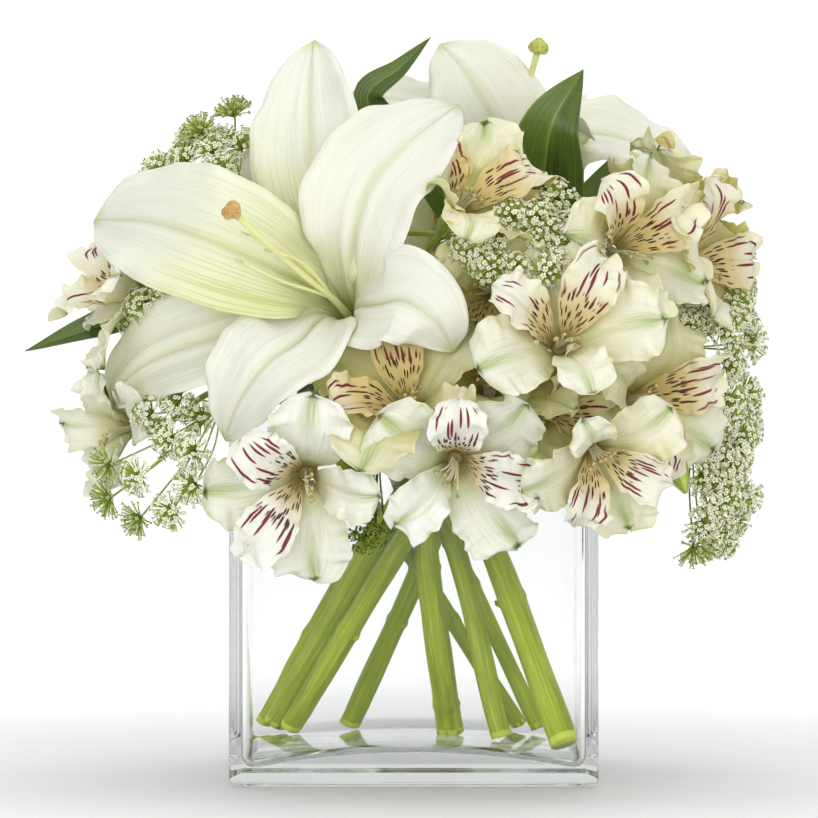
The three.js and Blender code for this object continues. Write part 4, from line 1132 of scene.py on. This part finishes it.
# tufts whose florets are still closed and green
GREEN_TUFTS = {"lace_right": (0,), "lace_right_low": (7,), "lace_left": (0, 1, 3), "lace_top_left": (0, 1)}
GREEN_TUFT = 0.6
FLORET_RADIUS = 0.95
FLORET_PETALS = 5
FLORET_OUTLINE = ((0.1, 0.0, 0.0), (0.6, 0.4, 0.22), (1.0, 0.3, 0.12))  # along, half width and rise
FLORET_DEPTH = 0.16
FLORET_DOME = ((-0.25, 0.12), (0.15, 0.22))  # height and radius
CLOSED = 0.5  # past this the florets are smaller
CLOSED_SIZE = 0.65
DOME_ANGLE = 1.35  # how far the outermost florets lean away from their ray
FLORETS_PER_AREA = 0.46  # florets for each square millimetre that a tuft covers
FULL_LACE = ("lace_right", "lace_right_low", "lace_middle")
FILL_GAP = (10.0, 23.0)  # in full umbels, tufts this far apart get a smaller one between them
FILL_SIZE = 0.72


def floret(bag, place, way, radius, random, dark):
    """Five blunt petals round a small green dome."""
    side = unit(np.cross(way, random.normal(size=3)))
    other = np.cross(way, side)
    start = random.uniform(0, 2 * math.pi)
    points, tones, faces = [], [], []
    for petal in range(FLORET_PETALS):
        angle = start + petal * 2 * math.pi / FLORET_PETALS
        out = side * math.cos(angle) + other * math.sin(angle)
        across = np.cross(way, out)
        grow = radius * random.uniform(0.8, 1.15)
        lift = random.uniform(0.0, 0.45)
        first = len(points)
        for along, wide, rise in FLORET_OUTLINE:
            for sign in (-1, 1) if wide else (0,):
                spot = place + out * along * grow + across * sign * wide * grow
                points.append(spot + way * grow * (rise + lift * along))
                tones.append((along, 0, 1, dark))
        under = len(points) - first
        points += [point - way * FLORET_DEPTH for point in points[first:]]
        tones += tones[first:]
        top = [(0, 2, 1), (1, 2, 4, 3)]
        rim = [0, 2, 4, 3, 1]
        faces += [tuple(first + k for k in face) for face in top]
        faces += [tuple(first + under + k for k in face[::-1]) for face in top]
        faces += [(first + a, first + a + under, first + b + under, first + b)
                  for a, b in zip(rim, rim[1:] + rim[:1])]
    first, sides = len(points), FLORET_PETALS
    for height, wide in FLORET_DOME:
        for corner in range(sides):
            angle = corner * 2 * math.pi / sides
            points.append(place + (side * math.cos(angle) + other * math.sin(angle)) * wide * radius
                          + way * height * radius)
            tones.append((0, 0, 1, dark))
    faces += [tuple(f) for f in grid_faces(2, sides, first, around=True).tolist()]
    faces.append(tuple(range(first + sides, first + 2 * sides)))
    faces.append(tuple(range(first + sides - 1, first - 1, -1)))
    points = np.array(points)
    bag.add(points, [[face] for face in faces], np.array(tones), points + random.uniform(0, 40))


def umbellet(bag, start, tuft, radius, out, random, dark):
    """One ray from start and its dome of florets, each on a short stalk from the ray's end."""
    foot = tuft - out * radius * 0.85
    bow = (start + foot) / 2 - out * np.linalg.norm(foot - start) * 0.05 + random.normal(size=3) * 0.6
    tube(bag, [start, bow, foot], (0.34, 0.3, 0.38), 7, 14, tint=dark, seed=random.uniform(0, 50))
    side = unit(np.cross(out, [0.3, 0.2, 0.9]))
    other = np.cross(out, side)
    florets = int(math.pi * radius**2 * FLORETS_PER_AREA)
    for index in range(florets):
        share = math.sqrt((index + 0.5) / florets)
        angle = index * GOLDEN_ANGLE + random.uniform(-0.3, 0.3)
        around = side * math.cos(angle) + other * math.sin(angle)
        lean = share * DOME_ANGLE * random.uniform(0.85, 1.1)
        way = out * math.cos(lean) + around * math.sin(lean)
        head = foot + way * radius * random.uniform(1.0, 1.28)
        tube(bag, [foot, (foot + head) / 2 + out * 0.5 * share, head - way * 0.2], (0.3, 0.24, 0.27), 4, 3,
             tint=dark * 0.5, seed=random.uniform(0, 50))
        grow = FLORET_RADIUS * random.uniform(0.7, 1.15) * (CLOSED_SIZE if dark > CLOSED else 1.0)
        floret(bag, head, way, grow, random, dark)


def build_lace(name, number):
    """One umbel: its hub and all its tufts, with smaller ones between them where it is full."""
    hub, facing, radius, tufts, dark = LACE[name]
    green = GREEN_TUFTS.get(name, ())
    hub, facing = np.array(hub, float), unit(facing)
    random = np.random.default_rng(900 + number)
    bag = Bag()
    hub_end = hub + facing * 3
    tube(bag, [hub, hub_end], (1.0, 1.3, 1.0), 12, 8, tint=dark, seed=4.0)
    tufts = np.array(tufts, float)
    places = [(tuft, radius, GREEN_TUFT if index in green else dark) for index, tuft in enumerate(tufts)]
    for index, tuft in enumerate(tufts):
        gaps = np.linalg.norm(tufts[index + 1 :] - tuft, axis=1)
        for other, gap in zip(tufts[index + 1 :], gaps):
            if name in FULL_LACE and FILL_GAP[0] < gap < FILL_GAP[1]:
                between = (tuft + other) / 2 + random.uniform(-1.5, 1.5, 3)
                places.append((between, radius * FILL_SIZE, dark))
    for tuft, size, tuft_dark in places:
        out = unit(unit(tuft - hub) + facing)
        umbellet(bag, hub_end, tuft, size, out, random, tuft_dark)
    bag.piece(f"{name}_umbel", [LACE_LOOK], name)


# ---------- leaves and the bud ----------

# middle line, half width, facing, how much light is painted on the left and right halves
LEAVES = {
    "leaf_top_left": (
        [(32.6, 8.7, 165), (8, -4, 208), (-16, -22, 238), (-5, -18, 248), (6, -12, 259)], 8,
        (0.2, -0.9, 0.3), 0.25, 0.0),
    "leaf_top_right": (
        [(37, 9.7, 174.5), (41, -8, 190), (45, -25, 210), (48, -34, 228), (59, -28, 247)], 15.5,
        (-0.1, -1, -0.2), 0.3, 0.0),
    "leaf_left": (
        [(-16, -26, 146), (-50, -24, 162), (-85, -22, 166), (-110, -25, 158), (-136, -18, 149)], 9,
        (0, -0.85, 0.5), 0.0, 0.1),
    "leaf_middle": (
        [(28.5, 7.5, 155), (29, -14, 168), (33, -32, 184), (40, -43, 206)], 15, (0, -0.9, -0.5), 0.1, 0.0),
    "leaf_neck": (
        [(0, -18, 90), (-6, -30, 105), (-14, -43, 112), (-21, -50, 103)], 5.5, (0, -0.1, 1), 0.6, 0.5),
    "leaf_back": (
        [(25.5, 21, 147), (50, 46, 184), (66, 62, 204), (76, 68, 222)], 14, (-0.3, -0.5, 0.8), 0.2, 0.1),
}


def build_leaf(name, number):
    spine, half_width, facing, left_painted_light, right_painted_light = LEAVES[name]
    bag = Bag()
    leaf_blade(bag, spine, half_width, facing, (left_painted_light, right_painted_light), 300 + number)
    bag.piece(f"{name}_blade", [LEAF], name)


def build_bud():
    """A closed bud: overlapping outer petals, ribbed, with a pinched tip."""
    bag = Bag()
    line = [(86, -66, 117), (89.5, -67.5, 109), (93, -68, 101)]
    tube(bag, line, (1.3, 2.9, 3.9, 4.1, 3.4, 2.0, 0.6), 36, 40, seed=8.0, ribs=6, rib_depth=0.1)
    tube(bag, line, (1.2, 3.2, 4.0, 3.6, 2.2, 0.5), 36, 40, mark=0.6, seed=19.0, ribs=3, rib_depth=0.16)
    bag.piece("bud_closed", [STALK], "bud")


# ---------- floor, light and the whole bunch ----------

# metres and watts
FLOOR_LEFT, FLOOR_RIGHT, FLOOR_FRONT, FLOOR_BACK = -16.0, 16.0, -4, 32.0
FLOOR_TOP = -0.0004
LAMPS = (
    ("key", (-1.4, -2.1, 0.6), 1.3, 18.0),
    ("fill", (1.3, -1.9, 0.3), 1.5, 21.0),
    ("front", (-0.3, -2.4, 0.25), 1.2, 13.0),
    ("top", (0.1, 0.2, 1.9), 1.2, 8.0),
)
LAMP_AIM = Vector((0, 0, 0.15))
SEEN_WORLD = 1.15
BOUNCES = 32  # enough for the light to leave the glass again


def build_floor():
    mesh = bpy.data.meshes.new("floor")
    corners = [(FLOOR_LEFT, FLOOR_FRONT, FLOOR_TOP), (FLOOR_RIGHT, FLOOR_FRONT, FLOOR_TOP),
               (FLOOR_RIGHT, FLOOR_BACK, FLOOR_TOP), (FLOOR_LEFT, FLOOR_BACK, FLOOR_TOP)]
    mesh.from_pydata(corners, [], [(0, 1, 2, 3)])
    mesh.materials.append(floor_material())
    add_object("floor", mesh)


def build_world():
    """White where the camera sees it. As a light it is brighter behind and dark at both sides."""
    world = bpy.data.worlds.new("studio")
    bpy.context.scene.world = world
    world.use_nodes = True
    n = Nodes(world.node_tree)
    way = n.new("ShaderNodeTexCoord").outputs["Generated"]
    parts = n.new("ShaderNodeSeparateXYZ", {0: way}).outputs
    light = n.math("ADD", n.ramp(parts["Y"], -1.0, 0.8, 0.8, 1.05), n.ramp(parts["Z"], 0.1, 0.9, 0.0, 0.15))
    light = n.math("ADD", light, n.ramp(n.product(parts["X"], parts["X"]), 0.3, 0.85, 0.0, -0.8))
    seen = n.new("ShaderNodeLightPath").outputs["Is Camera Ray"]
    plain = n.new("ShaderNodeBackground", {"Color": (1, 1, 1), "Strength": SEEN_WORLD}).outputs[0]
    shaded = n.new("ShaderNodeBackground", {"Color": (1, 1, 1), "Strength": light}).outputs[0]
    both = n.new("ShaderNodeMixShader", {0: seen, 1: shaded, 2: plain}).outputs[0]
    n.new("ShaderNodeOutputWorld", {"Surface": both})


def build_lamps():
    for name, place, size, power in LAMPS:
        data = bpy.data.lights.new(name, "AREA")
        data.shape = "SQUARE"
        data.size = size
        data.energy = power
        lamp = add_object(name, data)
        lamp.location = place
        lamp.rotation_euler = (LAMP_AIM - Vector(place)).to_track_quat("-Z", "Y").to_euler()


def build_bunch():
    """Blooms come last, because their petals lie against the sheets made before them."""
    build_vase()
    for number, name in enumerate(STEMS):
        build_stem(name, number)
    for number, (name, lily) in enumerate(LILIES.items()):
        build_lily_heart(name, lily)
        for index, tepal in enumerate(lily["tepals"]):
            build_lily_tepal(name, lily, tepal, 10 * number + index + 1)
    for number, name in enumerate(LEAVES):
        build_leaf(name, number)
    build_bud()
    for number, name in enumerate(LACE):
        build_lace(name, number)
    tree = sheet_tree(SHEETS)
    for name in [*FRONTMOST, *(name for name in BLOOMS if name not in FRONTMOST)]:
        build_bloom(name, list(BLOOMS).index(name), tree)


build_floor()
build_world()
build_lamps()
build_bunch()

scene = bpy.context.scene
scene.view_settings.view_transform = "Standard"
scene.view_settings.look = "None"
scene.cycles.use_denoising = True
scene.cycles.transmission_bounces = scene.cycles.glossy_bounces = scene.cycles.max_bounces = BOUNCES
